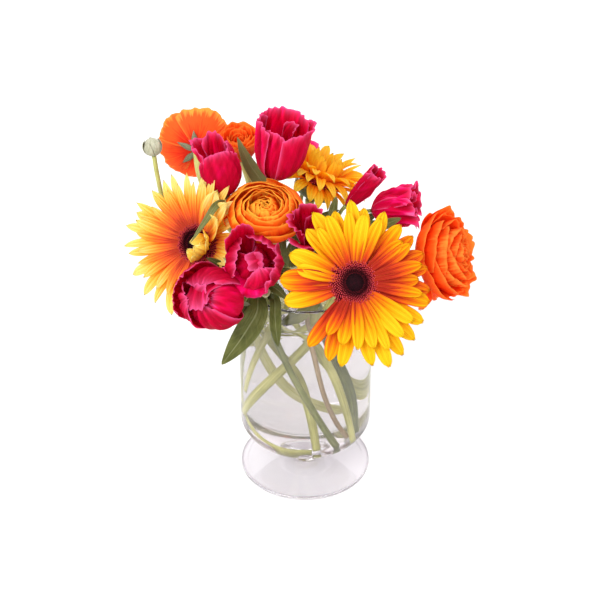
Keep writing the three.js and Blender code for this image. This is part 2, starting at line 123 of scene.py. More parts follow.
def shells(points, thickness, tone=0.0, fold=0.0):
    """Closed thin shells from a stack of grids (sheets, rows, columns, 3), in mm.

    Each grid is moved half its thickness to either side along its normal; the thickness falls
    to a third at the edges by the sixth power of the way there, and a strip joins the two faces
    round the rim. The mark `side` is 0 on the face that the normals leave and 1 on the other.
    """
    sheets, rows, cols, _ = points.shape
    u = np.linspace(-1, 1, cols)
    v = np.linspace(0, 1, rows)[:, None]
    thin = 1 - EDGE_LOSS * np.maximum(np.abs(u), np.clip(2 * v - 1, 0, 1)) ** 6
    half = sheet_normals(points) * (thin * thickness / 2)[None, :, :, None]
    front = (points + half).reshape(-1, 3)
    back = (points - half).reshape(-1, 3)
    total = len(front)
    low = np.arange(cols)
    right = np.arange(1, rows) * cols + cols - 1
    high = (rows - 1) * cols + np.arange(cols - 2, -1, -1)
    left = np.arange(rows - 2, 0, -1) * cols
    ring = np.concatenate([low, right, high, left])
    after = np.roll(ring, -1)
    strip = stacked(np.stack([after, ring, ring + total, after + total], 1), sheets, rows * cols)
    place = np.stack([(ring % cols) / (cols - 1), (ring // cols) / (rows - 1)], 1)
    place_after = np.roll(place, -1, axis=0)
    strip_map = np.tile(np.stack([place_after, place, place, place_after], 1), (sheets, 1, 1))
    faces, maps = grid_faces(sheets, rows, cols)
    tones = spread(np.reshape(tone, (-1, 1)), sheets, rows * cols).ravel()
    folds = spread(fold, sheets, rows, cols).ravel()
    return block(
        np.concatenate([front, back]),
        [faces, faces[:, ::-1] + total, strip],
        [maps, maps[:, ::-1], strip_map],
        side=np.repeat([0.0, 1.0], total), tone=np.tile(tones, 2), fold=np.tile(folds, 2))


def rings_block(points, tone=0.0):
    """Closed bodies from a stack of ring grids (bodies, rows, sides, 3): walls, and a point at each end."""
    bodies, rows, sides, _ = points.shape
    faces, maps = grid_faces(bodies, rows, sides, wrap=True)
    flat = points.reshape(-1, 3)
    j = np.arange(sides)
    start = np.arange(bodies)[:, None] * rows * sides
    low, low_next = ((start + k % sides).ravel() for k in (j, j + 1))
    top, top_next = (corner + (rows - 1) * sides for corner in (low, low_next))
    pole = np.repeat(len(flat) + np.arange(bodies), sides)
    caps = [np.stack([pole, low_next, low], 1), np.stack([pole + bodies, top, top_next], 1)]
    at = np.tile(j / sides, bodies)
    middle, after = at + 0.5 / sides, at + 1 / sides
    cap_maps = [np.stack([np.stack([u, 0 * u + v], 1) for u in corner], 1)
                for v, corner in ((0, (middle, after, at)), (1, (middle, at, after)))]
    tones = spread(np.reshape(tone, (-1, 1)), bodies, rows * sides).ravel()
    ends = spread(tone, bodies)
    return block(
        np.concatenate([flat, points[:, 0].mean(1), points[:, -1].mean(1)]),
        [faces, *caps],
        [maps, *cap_maps],
        side=0.0, tone=np.concatenate([tones, ends, ends]), fold=0.0)


def make_piece(name, blocks, finish, slot, *nodes):
    """One mesh object from blocks in mm, smooth shaded, riding on the root in place of CAD nodes."""
    sizes = np.cumsum([0] + [len(b["points"]) for b in blocks])
    points = np.concatenate([b["points"] for b in blocks]) * MM
    loops, totals, places = [], [], []
    for b, offset in zip(blocks, sizes):
        for faces, maps in zip(b["faces"], b["maps"]):
            loops.append((faces + offset).ravel())
            totals.append(np.full(len(faces), faces.shape[1]))
            places.append(maps.reshape(-1, 2))
    loops, totals, places = map(np.concatenate, (loops, totals, places))
    mesh = bpy.data.meshes.new(name)
    mesh.vertices.add(len(points))
    mesh.vertices.foreach_set("co", points.astype(np.float32).ravel())
    mesh.loops.add(len(loops))
    mesh.loops.foreach_set("vertex_index", loops.astype(np.int32))
    mesh.polygons.add(len(totals))
    mesh.polygons.foreach_set("loop_start", (np.cumsum(totals) - totals).astype(np.int32))
    mesh.polygons.foreach_set("loop_total", totals.astype(np.int32))
    mesh.polygons.foreach_set("use_smooth", np.ones(len(totals), bool))
    mesh.update(calc_edges=True)
    mesh.uv_layers.new(name="sheet").uv.foreach_set("vector", places.astype(np.float32).ravel())
    for key in ("tone", "side", "fold"):
        values = np.concatenate([b["marks"][key] for b in blocks])
        mesh.attributes.new(key, "FLOAT", "POINT").data.foreach_set("value", values.astype(np.float32))
    piece = bpy.data.objects.new(name, mesh)
    bpy.context.scene.collection.objects.link(piece)
    mesh.materials.append(finish)
    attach(piece, "root")
    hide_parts(*nodes)


# ------------------------------------------------------------------ places taken from the frame

def corners(node):
    """The separate corner points of a CAD node, in mm."""
    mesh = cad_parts[node].data
    flat = np.empty(3 * len(mesh.vertices), np.float32)
    mesh.vertices.foreach_get("co", flat)
    return np.unique((flat.reshape(-1, 3) / MM).round(3), axis=0).astype(float)


def main_axes(points):
    """The points' middle, their three spreads from least to most, and the directions of these."""
    centre = points.mean(0)
    return centre, *np.linalg.eigh(np.cov((points - centre).T))


class Head:
    """The frame of a turned CAD node: z along its axis away from its carrier, y up, x to the right.

    The axis is the direction in which the corners' spread differs from the other two, and the
    origin is the axis's point at the node's foot. With `front`, y is the way to the bouquet's
    back instead, so that -90 degrees looks to the front, 0 to the right and 90 to the back.
    """

    def __init__(self, node, carrier, front=False):
        """Works the frame out from the node's corners and the side that its carrier is on."""
        points = corners(node)
        centre, amount, axes = main_axes(points)
        odd = 0 if amount[1] - amount[0] > amount[2] - amount[1] else 2
        self.z = axes[:, odd]
        if self.z @ (centre - corners(carrier).mean(0)) < 0:
            self.z = -self.z
        self.origin = centre + self.z * ((points - centre) @ self.z).min()
        self.x = np.cross(self.z, [0, -1, 0]) if front else np.cross([0, 0, 1], self.z)
        self.x /= np.linalg.norm(self.x)
        self.y = np.cross(self.z, self.x)

    def place(self, points):
        """Moves points of the head's frame into the bouquet's."""
        return self.origin + points @ np.stack([self.x, self.y, self.z])


def smooth_line(points, count):
    """A centripetal Catmull-Rom curve through the points, at evenly spaced places along it.

    Its knots are a square root of the distance apart, and each span mixes straight lines through
    four points in a row three times over.
    """
    points = np.asarray(points, float)
    padded = np.vstack([2 * points[0] - points[1], points, 2 * points[-1] - points[-2]])
    knots = np.cumsum([0, *np.linalg.norm(np.diff(padded, axis=0), axis=1) ** 0.5])
    spans = len(padded) - 3
    t0, t1, t2, t3 = (knots[k:spans + k, None, None] for k in range(4))
    p0, p1, p2, p3 = (padded[k:spans + k, None] for k in range(4))
    t = t1 + (t2 - t1) * np.linspace(0, 1, 24, endpoint=False)[None, :, None]

    def between(low, high, first, last):
        """The place at t on the straight line that is at the first point at low and the last at high."""
        return ((high - t) * first + (t - low) * last) / (high - low)

    a, b, c = between(t0, t1, p0, p1), between(t1, t2, p1, p2), between(t2, t3, p2, p3)
    curve = between(t1, t2, between(t0, t2, a, b), between(t1, t3, b, c))
    line = np.vstack([curve.reshape(-1, 3), points[-1:]])
    run = np.concatenate([[0], np.cumsum(np.linalg.norm(np.diff(line, axis=0), axis=1))])
    at = np.linspace(0, run[-1], count)
    return np.stack([np.interp(at, run, line[:, k]) for k in range(3)], 1)


def tube(line, radius, sides=12, tone=0.0):
    """Circles square to a line, each turned as little as possible from the one before it."""
    tangents = np.gradient(line, axis=0)
    tangents /= np.linalg.norm(tangents, axis=1, keepdims=True)
    across = np.cross(tangents[0], [0.3, 0.9, 0.2])
    frames = []
    for tangent in tangents:
        across = across - tangent * (across @ tangent)
        across = across / np.linalg.norm(across)
        frames.append((across, np.cross(tangent, across)))
    first, second = np.array(frames)[:, :, None].transpose(1, 0, 2, 3)
    angle = np.arange(sides)[:, None] / sides * TURN
    arm = np.cos(angle) * first + np.sin(angle) * second
    radii = spread(radius, len(line))[:, None, None]
    return rings_block((line[:, None] + arm * radii)[None], tone)


def turned_body(profile, sides, head=None, ribs=0, depth=0.0):
    """A closed body: a profile of radius and height turned round the axis, with ribs as a cosine."""
    radius, height = np.asarray(profile, float).T[:, :, None]
    angle = np.arange(sides) / sides * TURN
    radius = radius * (1 - depth * (0.5 - 0.5 * np.cos(ribs * angle)))
    grid = np.stack([radius * np.cos(angle), radius * np.sin(angle), height + 0 * angle], -1)[None]
    return head.place(grid) if head else grid


# ------------------------------------------------------------------ finishes

class Wire:
    """A value that a node of a finish gives out; arithmetic on it makes the Math nodes that follow."""

    def __init__(self, finish, socket):
        """Keeps the node's output and the finish that it belongs to."""
        self.finish = finish
        self.socket = socket

    def __add__(self, other):
        """The sum."""
        return self.finish.math("ADD", self, other)

    def __sub__(self, other):
        """The difference."""
        return self.finish.math("SUBTRACT", self, other)

    def __mul__(self, other):
        """The product."""
        return self.finish.math("MULTIPLY", self, other)

    def __pow__(self, other):
        """The power."""
        return self.finish.math("POWER", self, other)

    def excess(self, other):
        """How far the value is above the other one, from 0 to 1."""
        return self.finish.math("SUBTRACT", self, other, clamp=True)

    def larger(self, other):
        """The larger of the two."""
        return self.finish.math("MAXIMUM", self, other)

    def sine(self):
        """The sine of the value in radians."""
        return self.finish.math("SINE", self)

    def size(self):
        """The value without its sign."""
        return self.finish.math("ABSOLUTE", self)

    def from_middle(self):
        """How far a place from 0 to 1 is from the middle: 0 there, and 1 at either end."""
        return ((self - 0.5) * 2.0).size()


class Finish:
    """A material being put together: nodes are added by kind, with values or wires as inputs."""

    def __init__(self, name, **sockets):
        """Starts with a Principled shader that has these values, joined to the material's output."""
        self.material = bpy.data.materials.new(name)
        self.material.use_nodes = True
        self.tree = self.material.node_tree
        self.tree.nodes.clear()
        self.surface = self.node("BsdfPrincipled", **sockets)
        self.output = self.node("OutputMaterial", Surface=Wire(self, self.surface.outputs[0]))

    def feed(self, socket, value):
        """Joins a wire to an input, or sets the input's own number, vector or colour."""
        if isinstance(value, Wire):
            self.tree.links.new(value.socket, socket)
        else:
            socket.default_value = (*value, 1) if socket.type == "RGBA" else value

    def node(self, kind, settings=(), **inputs):
        """A new node. An input goes by its name, with _ for a space, or by its number after an _."""
        made = self.tree.nodes.new(f"ShaderNode{kind}")
        for key, value in dict(settings).items():
            setattr(made, key, value)
        for key, value in inputs.items():
            self.feed(made.inputs[int(key[1:]) if key[0] == "_" else key.replace("_", " ")], value)
        return made

    def wire(self, kind, output=0, settings=(), **inputs):
        """One output of a new node."""
        return Wire(self, self.node(kind, settings, **inputs).outputs[output])

    def math(self, operation, *values, clamp=False):
        """The result of a Math node, kept from 0 to 1 with `clamp`."""
        inputs = {f"_{k}": value for k, value in enumerate(values)}
        return self.wire("Math", 0, {"operation": operation, "use_clamp": clamp}, **inputs)

    def mark(self, name):
        """A mark that the mesh carries at its points."""
        return self.wire("Attribute", "Fac", {"attribute_name": name})

    def sheet(self):
        """The place on the sheet, as a vector."""
        return self.wire("UVMap", 0, {"uv_map": "sheet"})

    def place(self):
        """The place in the bouquet in metres, as a vector."""
        return self.wire("TexCoord", "Object")

    def parts(self, vector):
        """The three parts of a vector."""
        return [Wire(self, output) for output in self.node("SeparateXYZ", Vector=vector).outputs]

    def ramp(self, factor, *stops):
        """Colours at places from 0 to 1, mixed evenly between one and the next."""
        made = self.node("ValToRGB", Fac=factor)
        bar = made.color_ramp.elements
        while len(bar) < len(stops):
            bar.new(0.5)
        for element, (place, colour) in zip(bar, stops):
            element.position = place
            element.color = (*colour, 1)
        return Wire(self, made.outputs[0])

    def mix(self, factor, first, second):
        """The first colour with a share of the second in it."""
        return self.wire("Mix", 2, {"data_type": "RGBA"}, _0=factor, _6=first, _7=second)

    def noise(self, vector, scale, detail=3.0, stretch=None, roughness=0.5):
        """Soft noise from 0 to 1; `stretch` multiplies the vector's parts first."""
        if stretch:
            vector = self.wire("Mapping", Vector=vector, Scale=stretch)
        return self.wire("TexNoise", "Fac", Vector=vector, Scale=scale, Detail=detail, Roughness=roughness)

    def relief(self, height, strength, distance):
        """Raises the surface in looks only, by the height times the distance in mm."""
        bump = self.wire("Bump", Height=height, Strength=strength, Distance=distance * MM)
        self.feed(self.surface.inputs["Normal"], bump)
        return bump

    def shade(self, first, second, share):
        """Gives the output a mix of two shaders, with a share of the second."""
        self.feed(self.output.inputs["Surface"], self.wire("MixShader", Fac=share, _1=first, _2=second))
        return self.material

    def tissue(self, colour, normal=None, through=0):
        """The colour on the surface, a share of which also lets light through in that colour."""
        self.feed(self.surface.inputs["Base Color"], colour)
        if not through:
            return self.material
        inner = self.wire("BsdfTranslucent", Color=colour, Normal=normal)
        return self.shade(Wire(self, self.surface.outputs[0]), inner, through)


def ray_finish(name, foot, base, middle, tip, end, under, through=0.34):
    """Ray petals: five colours from foot to end, fine sine veins, and painted shade along two furrows
    lengthwise.
    """
    f = Finish(name, Roughness=0.55, Specular_IOR_Level=0.06)
    sheet = f.sheet()
    across, along, _ = f.parts(sheet)
    streak = f.noise(sheet, 6.0, 4.0, stretch=(4.5, 0.3, 1.0))
    # The tone moves the colours along the ramp; on the front gerbera it carries painted shade on the
    # right-hand rays.
    tone = (f.mark("tone") - 0.5) * 1.4
    # Painted shade: the colour is darkened along the two furrows.
    furrow_shade = ((across - 0.5) * 9.42).sine().size() ** 6.0
    place = along + (streak - 0.5) * 0.85 + tone - furrow_shade * 0.14
    colour = f.ramp(place, (0.08, foot), (0.22, base), (0.44, middle), (0.66, tip), (0.98, end))
    veins = ((across * 62.0).sine() + 1.0) * 0.5
    colour = f.mix(veins ** 4.0 * 0.30, colour, middle)
    colour = f.mix(f.mark("side") * 0.6, colour, under)
    return f.tissue(colour, f.relief(veins + streak * 2.0, 0.4, 0.3), through)


def ranunculus_finish(name, deep, body, rim):
    """Ranunculus petals: deep at the foot, lighter towards a pale rim, with soft lengthwise streaks."""
    f = Finish(name, Roughness=0.5, Specular_IOR_Level=0.08)
    sheet = f.sheet()
    across, along, _ = f.parts(sheet)
    streak = f.noise(sheet, 5.0, 5.0, stretch=(5.0, 0.35, 1.0))
    cloud = f.noise(f.place(), 70.0, 3.0)
    tone = (f.mark("tone") - 0.5) * 0.9
    place = along + (streak - 0.5) + tone + (cloud - 0.5) * 0.6
    colour = f.ramp(place, (0.15, deep), (0.52, body), (0.82, body), (1.0, rim))
    lip = (along ** 20.0).larger(across.from_middle() ** 18.0)
    colour = f.mix(lip * 0.8, colour, rim)
    return f.tissue(colour, f.relief(streak, 0.3, 0.5), 0.5)


def godetia_finish(name):
    """Godetia petals: silky crimson, painted highlight on ridges and in patches, painted shade in grooves,
    pinker rims and back, paler at the foot.
    """
    f = Finish(name, Roughness=0.45, Specular_IOR_Level=0.025)
    sheet = f.sheet()
    across, along, _ = f.parts(sheet)
    streak = f.noise(sheet, 5.0, 5.0, stretch=(6.0, 0.5, 1.0), roughness=0.6)
    sheen_patch = f.noise(sheet, 2.6, 3.0, stretch=(1.6, 1.0, 1.0))
    tone = f.mark("tone") - 0.5
    # The fold mark raises the colour on ridges and lowers it in grooves: painted highlight and painted shade.
    place = (along * 0.5 + (streak - 0.5) * 0.6 + tone + f.mark("fold") * 0.85) * 0.62
    # The ramp's two top stops are the pink of the painted highlights.
    crimson = f.ramp(place, (0.0, (0.52, 0.0, 0.016)), (0.19, (0.70, 0.0, 0.036)), (0.38, (0.84, 0.0, 0.072)),
                     (0.62, (0.96, 0.008, 0.215)), (0.95, (1.0, 0.19, 0.50)))
    # Painted sheen: soft patches of a brighter magenta.
    colour = f.mix(sheen_patch.excess(0.52) * 2.0, crimson, (0.88, 0.001, 0.135))
    colour = f.mix(f.mark("side") * 0.10, colour, (0.78, 0.03, 0.16))
    margin = (across.from_middle() ** 22.0).larger(along ** 16.0)
    colour = f.mix(margin * 0.8, colour, (1.0, 0.17, 0.47))
    foot = f.ramp(along, (0.01, (0.4, 0.4, 0.4)), (0.08, (0.0, 0.0, 0.0)))
    colour = f.mix(foot, colour, (0.66, 0.10, 0.16))
    crease = f.noise(sheet, 9.0, 5.0, stretch=(3.5, 1.0, 1.0), roughness=0.65)
    return f.tissue(colour, f.relief(crease, 0.55, 0.9), 0.45)


def green_finish(name, deep, body, light, roughness=0.5, through=0.0, scale=60.0):
    """Stems, sepals and buds: three greens by a sum of lengthwise streaks, mottling and the tone."""
    f = Finish(name, Roughness=roughness, Specular_IOR_Level=0.4)
    streak = f.noise(f.sheet(), 8.0, 3.0, stretch=(3.0, 0.5, 1.0))
    mottle = f.noise(f.place(), scale, 4.0)
    shade = streak * 0.6 + mottle * 0.4 + (f.mark("tone") - 0.5)
    colour = f.ramp(shade, (0.3, deep), (0.5, body), (0.7, light))
    return f.tissue(colour, f.relief(streak + mottle * 0.5, 0.3, 0.3), through)


def leaf_finish(name):
    """Leaves: dark olive green, with a paler midrib, slanting sine veins and a thin pale margin."""
    f = Finish(name, Roughness=0.55, Specular_IOR_Level=0.2)
    sheet = f.sheet()
    across, along, _ = f.parts(sheet)
    off = across.from_middle()
    mottle = f.noise(f.place(), 90.0, 4.0)
    streak = f.noise(sheet, 7.0, 4.0, stretch=(4.0, 0.6, 1.0))
    shade = mottle * 0.5 + streak * 0.5
    body = f.ramp(shade + (f.mark("tone") - 0.5),
                  (0.3, (0.055, 0.062, 0.012)), (0.5, (0.112, 0.122, 0.028)), (0.72, (0.22, 0.225, 0.085)))
    veins = (((along * 60.0 + off * -9.0).sine() + 1.0) * 0.5) ** 10.0
    colour = f.mix(veins * 0.12, body, (0.22, 0.24, 0.09))
    rib = f.ramp(off, (0.01, (1.0, 1.0, 1.0)), (0.09, (0.0, 0.0, 0.0)))
    colour = f.mix(rib.larger(off ** 24.0 * 0.5) * 0.55, colour, (0.32, 0.33, 0.17))
    colour = f.mix(f.mark("side") * 0.35, colour, (0.20, 0.22, 0.13))
    return f.tissue(colour, f.relief(veins * 0.6 + shade, 0.4, 0.4), 0.12)


def floret_finish(name):
    """Disc florets: near-black in the middle, dark maroon to crimson outside, with pinkish tips."""
    f = Finish(name, Roughness=0.7, Specular_IOR_Level=0.05)
    _, along, _ = f.parts(f.sheet())
    inner = f.ramp(along, (0.0, (0.004, 0.001, 0.002)), (1.0, (0.016, 0.004, 0.006)))
    outer = f.ramp(along, (0.0, (0.05, 0.002, 0.005)), (0.6, (0.30, 0.008, 0.022)), (1.0, (0.70, 0.09, 0.10)))
    speck = f.noise(f.place(), 420.0, 2.0)
    colour = f.mix(f.mark("tone"), inner, outer)
    colour = f.mix(speck.excess(0.45) * 0.5, colour, (0.12, 0.005, 0.02))
    return f.tissue(colour)


# Where the vase's tint changes, in mm: with the height above the neck, and in a ring at the foot's edge; both
# are painted shade.
TINT_SPAN = 40
TINT_HIGH = 34
RING_INSIDE = 46.1
RING_OUTSIDE = 46.9
RING_SPAN = 50
RING_SHADE_COLOUR = (0.62, 0.59, 0.62)


def glass_finish(name, ior, ripple, colour, foot=None):
    """Clear glass or water: light from the lamps passes through, so that what is behind stays bright.

    With `foot`, the tint changes evenly with the height to that colour below the vase's neck,
    as painted shade on the thick glass of the foot, and to a greyer one in a ring at the foot's
    edge, as a painted dark outline.
    """
    f = Finish(name, Base_Color=colour, Roughness=0.0, IOR=ior, Transmission_Weight=1.0)
    place = f.place()
    f.relief(f.noise(place, 22.0, 1.0), ripple, 0.4)
    clear = f.node("BsdfTransparent", Color=colour)
    if foot:
        level = f.parts(place)[2]
        # Painted shade: the tint darkens towards the foot.
        tint = f.ramp(level * (1 / (TINT_SPAN * MM)),
                      (NECK_LOW / TINT_SPAN, foot), (TINT_HIGH / TINT_SPAN, colour))
        flat = f.wire("VectorMath", 0, {"operation": "MULTIPLY"}, _0=place, _1=(1.0, 1.0, 0.0))
        out = f.wire("VectorMath", "Value", {"operation": "LENGTH"}, _0=flat)
        edge = f.ramp(out * (1 / (RING_SPAN * MM)), (RING_INSIDE / RING_SPAN, (0.0, 0.0, 0.0)),
                      (RING_OUTSIDE / RING_SPAN, (1.0, 1.0, 1.0)))
        low = f.math("LESS_THAN", level, NECK_LOW * MM)
        # Painted shade: a greyer ring at the foot's edge.
        tint = f.mix(edge * low, tint, RING_SHADE_COLOUR)
        f.feed(f.surface.inputs["Base Color"], tint)
        f.feed(clear.inputs["Color"], tint)
    lamps = f.wire("LightPath", "Is Shadow Ray")
    return f.shade(Wire(f, f.surface.outputs[0]), Wire(f, clear.outputs[0]), lamps)


# ------------------------------------------------------------------ shapes of petals

def per_petal(extra, *values):
    """The values as arrays with one entry for each petal, and as many axes of one entry after it."""
    arrays = np.broadcast_arrays(*[np.atleast_1d(np.asarray(value, float)) for value in values])
    return [array.reshape(-1, *[1] * extra) for array in arrays]


def ray_grid(angle, length, width, lift, tip, bend=0.0, twist=0.0, trough=0.25, start=9.0, level=0.0,
             shoulder=0.6, point=0.62, ridge=0.28, notch=0.5, rows=22, cols=13):
    """Ray petals in the head's frame, one for each entry of the arrays, in degrees and mm.

    The middle line leaves the disc at `start` from the axis, climbing at `lift`, and its climb
    changes to `tip` at the end with a power of the way along. Half the width grows as a quarter
    sine and closes from the shoulder to the end as one less the square of the way, to the power
    `point`. Across, the sheet is a trough as the square of the place, with three ridges between
    two furrows, and the end has small teeth; `bend` turns the line sideways and `twist` rolls it.
    """
    angle, length, width, lift, tip, bend, twist, trough, level, shoulder, point = per_petal(
        1, angle, length, width, lift, tip, bend, twist, trough, level, shoulder, point)
    v = np.linspace(0, 1, rows)[None]
    u = np.linspace(-1, 1, cols)[None, None]
    climb = np.radians(lift + (tip - lift) * v ** 1.6)
    heading = np.radians(angle + bend * v ** 2)
    ahead = np.stack([np.cos(climb) * np.cos(heading), np.cos(climb) * np.sin(heading), np.sin(climb)], -1)
    steps = ahead * ((length - start) / (rows - 1))[..., None]
    first = heading[:, :1]
    root = np.stack([start * np.cos(first), start * np.sin(first), level + 0 * first], -1)
    line = np.cumsum(steps, 1) - steps[:, :1] + root
    half = width / 2 * (0.36 + 0.64 * np.sin(np.pi / 2 * np.clip(v / 0.6, 0, 1)))
    way = np.clip((v - shoulder) / (1.003 - shoulder), 0, 1)
    half = (half * np.clip(1 - way ** 2, 0.002, 1) ** point)[..., None]
    lateral = np.stack([np.sin(heading), -np.cos(heading), 0 * heading], -1)
    normal = np.cross(lateral, ahead)
    roll = (np.radians(twist) * v)[..., None]
    side = lateral * np.cos(roll) + normal * np.sin(roll)
    face = normal * np.cos(roll) - lateral * np.sin(roll)
    v = v[..., None]
    three = np.cos(3 * np.pi * u)
    rise = trough[..., None] * u ** 2 * half
    rise = rise + ridge * three * np.clip(half / 3, 0, 1) * np.clip(3 * v, 0, 1)
    teeth = notch * three * v ** 14
    grid = line[:, :, None] + side[:, :, None] * (u * half)[..., None]
    return grid + rise[..., None] * face[:, :, None] + teeth[..., None] * ahead[:, :, None]


def waves(phase, across, along, counts, sizes):
    """A sum of sines across a sheet whose phases drift along it: folds that run lengthwise."""
    total = 0 * across * along
    for k, (count, size) in enumerate(zip(counts, sizes)):
        drift = 1.7 * np.sin(2.3 * along + phase * (k + 1.3))
        total = total + size * np.sin(count * across * np.pi + phase * (2.1 * k + 1) + drift)
    return total


# How far a cup's petals stand from its axis at the foot, as a share of the radius.
CUP_FOOT = 0.04


def cup_grid(angle, span, radius, height, close=1.0, mouth=0.0, base=0.0, spiral=0.06, fall=0.3,
             folds=(), fold_sizes=(), ruffle=0.0, lean=0.0, phase=0.0, rows=14, cols=19, sharp=2.5):
    """Petals of a cup in the head's frame, one for each entry of the arrays, in degrees and mm.

    From foot to rim the sheet follows an arc of `close` quarter turns: the radius is the sine and
    the height one minus the cosine. `mouth` then opens the rim by the fourth power of the way up,
    the rim falls by `fall` towards the petal's sides, and `spiral` widens one side so that it
    overlaps the next petal. Folds and ruffles grow towards the rim.
    """
    angle, span, radius, height, close, mouth, base, spiral, fall, ruffle, lean, phase = per_petal(
        2, angle, span, radius, height, close, mouth, base, spiral, fall, ruffle, lean, phase)
    v = np.linspace(0, 1, rows)[None, :, None]
    u = np.linspace(-1, 1, cols)[None, None]
    way = v * (1 - fall * np.abs(u) ** sharp)
    arc = way * close * np.pi / 2
    out = radius * (CUP_FOOT + (1 - CUP_FOOT) * np.sin(arc)) * (1 + spiral * u) + mouth * way ** 4
    up = base + height * (1 - np.cos(arc)) / (1 - np.cos(close * np.pi / 2))
    fold = waves(phase, u, v, folds, fold_sizes) * way ** 1.4
    edge = ruffle * way ** 5 * (np.sin(7 * u + 3 * phase) + 0.6 * np.sin(17 * u + 5 * phase))
    up = up + edge + 0.5 * fold
    out = out + fold + 0.8 * edge + lean * way ** 2
    turn = np.radians(angle + span * u)
    grid = np.stack([out * np.cos(turn), out * np.sin(turn), up + 0 * turn], -1)
    return grid[:, :, ::-1], np.broadcast_to(fold, grid.shape[:3])[:, :, ::-1]


# How far a silky petal stands from its bloom's axis, as shares of the radius, and its height, as
# shares of the length, at five even steps from foot to rim.
PETAL_SHAPES = {
    "egg": ((0.10, 0.74, 1.00, 0.96, 0.70), (0.0, 0.20, 0.50, 0.78, 1.0)),
    "funnel": ((0.10, 0.44, 0.68, 0.86, 1.04), (0.0, 0.27, 0.53, 0.78, 1.0)),
    "flare": ((0.10, 0.42, 0.62, 0.82, 1.22), (0.0, 0.32, 0.62, 0.86, 1.0)),
    "upright": ((0.10, 0.60, 0.78, 0.82, 0.80), (0.0, 0.24, 0.50, 0.76, 1.0)),
    "dish": ((0.08, 0.36, 0.66, 0.88, 1.00), (0.0, 0.10, 0.30, 0.62, 1.0)),
    "closed": ((0.10, 0.80, 1.02, 0.88, 0.36), (0.0, 0.24, 0.58, 0.88, 1.0)),
    "drooping": ((0.08, 0.46, 0.82, 1.02, 1.05), (0.0, 0.45, 0.72, 0.55, 0.10)),
    "shut": ((0.14, 0.80, 1.0, 0.76, 0.04), (0.0, 0.16, 0.52, 0.88, 1.0)),
    "goblet": ((0.10, 0.66, 0.88, 0.94, 1.02), (0.0, 0.20, 0.46, 0.74, 1.0)),
    "hood": ((0.12, 0.84, 0.98, 0.50, -0.42), (0.0, 0.18, 0.54, 0.88, 1.0)),
}
# The share of the radius that a petal keeps as half its width where it passes over the axis.
HELD_WIDTH = {"hood": 0.8}
# A silky petal's grid, and how many waves make its folds and its frill.
SILK_ROWS = 38
SILK_COLUMNS = 57
LONG_WAVES = 8
SHORT_WAVES = 4


def quartic(points, way):
    """For each row of five evenly spaced points, the quartic curve through them at the given ways."""
    steps = np.vander(np.linspace(0, 1, 5), 5)
    parts = np.linalg.solve(steps, np.array(points).T)[:, :, None, None]
    return sum(part * way ** (4 - k) for k, part in enumerate(parts))


def silk_grid(rng, petals):
    """Silky petals in the bloom's frame, one for each row of the table, in degrees and mm.

    The columns are angle, half the angle covered, length, radius, shape, fall of the rim towards
    the sides, lean of the rim to one side, outward roll of the two side edges, frill and crumple.
    The radius and the height follow quartic curves through the shape's five steps. The folds are
    a sum of waves that run nearly lengthwise, growing from foot to rim; the frill is a shorter
    set of waves in the last sixth. Where a shape holds its width, half the petal's width does not
    go below that share of the radius by the square of the way up, even over the axis.
    """
    count = len(petals)
    numbers = np.array([[*row[:4], *row[5:11]] for row in petals], float).T[:, :, None, None]
    angle, span, length, radius, fall, lean, roll_low, roll_high, frill, crumple = numbers
    v = np.linspace(0, 1, SILK_ROWS)[None, :, None] ** 0.85
    u = np.linspace(-1, 1, SILK_COLUMNS)[None, None]
    way = v * (1 - fall * np.abs(u) ** 2.8 + lean * u)
    out, up = (quartic([PETAL_SHAPES[row[4]][which] for row in petals], way) for which in (0, 1))
    out, up = out * radius, up * length
    across = (u * np.radians(span) * radius)[:, None]

    def draw(kind, *limits, amount=LONG_WAVES):
        """Random numbers of a kind, one for each of some waves of each petal."""
        return kind(*limits, (count, amount))[:, :, None, None]

    pitch = np.exp(draw(rng.uniform, np.log(7.0), np.log(26)))
    slant = draw(rng.normal, 0, 0.35)
    phase = draw(rng.uniform, 0, TURN)
    wave = np.sin(TURN * (across + slant * (v * length)[:, None]) / pitch + phase)
    fold = ((1 - 2 * np.abs(wave) ** 0.8) * pitch / 22).sum(1) * crumple * v ** 1.1
    pitch = draw(rng.uniform, 3.2, 7.5, amount=SHORT_WAVES)
    phase = draw(rng.uniform, 0, TURN, amount=SHORT_WAVES)
    edge = np.sin(TURN * across / pitch + phase).sum(1) * frill * np.clip(6 * v - 5, 0, 1) ** 1.3
    nick = np.sin(TURN * across / pitch[:, ::-1] * 0.8 + phase).sum(1) * frill * 0.5 * v ** 14
    bulge = np.sin(np.pi * np.clip(v * 0.75 + 0.1, 0, 1))
    roll = np.where(u < 0, roll_low, roll_high) * np.abs(u) ** 4 * bulge
    out = out + fold + edge + roll
    held = np.array([HELD_WIDTH.get(row[4], 0.0) for row in petals])[:, None, None]
    heading, swing = np.radians(angle), np.radians(span) * u
    ahead = out * np.cos(swing)
    aside = np.hypot(out, held * radius * way ** 2) * np.sin(swing)
    x = ahead * np.cos(heading) - aside * np.sin(heading)
    y = ahead * np.sin(heading) + aside * np.cos(heading)
    grid = np.stack([x, y, up + nick + 0 * x], -1)
    relief = np.clip((fold + edge) / 2.2, -1, 1)
    return grid[:, :, ::-1], relief[:, :, ::-1]


# ------------------------------------------------------------------ gerberas

FLORETS = 640
DISC_RADIUS = 15.2
DARK_SHARE = 0.50
BRACTS = 22
BRACT_REACH = 16.0
BRACT_DEPTH = 12.0
BRACT_FOOT = 4.0


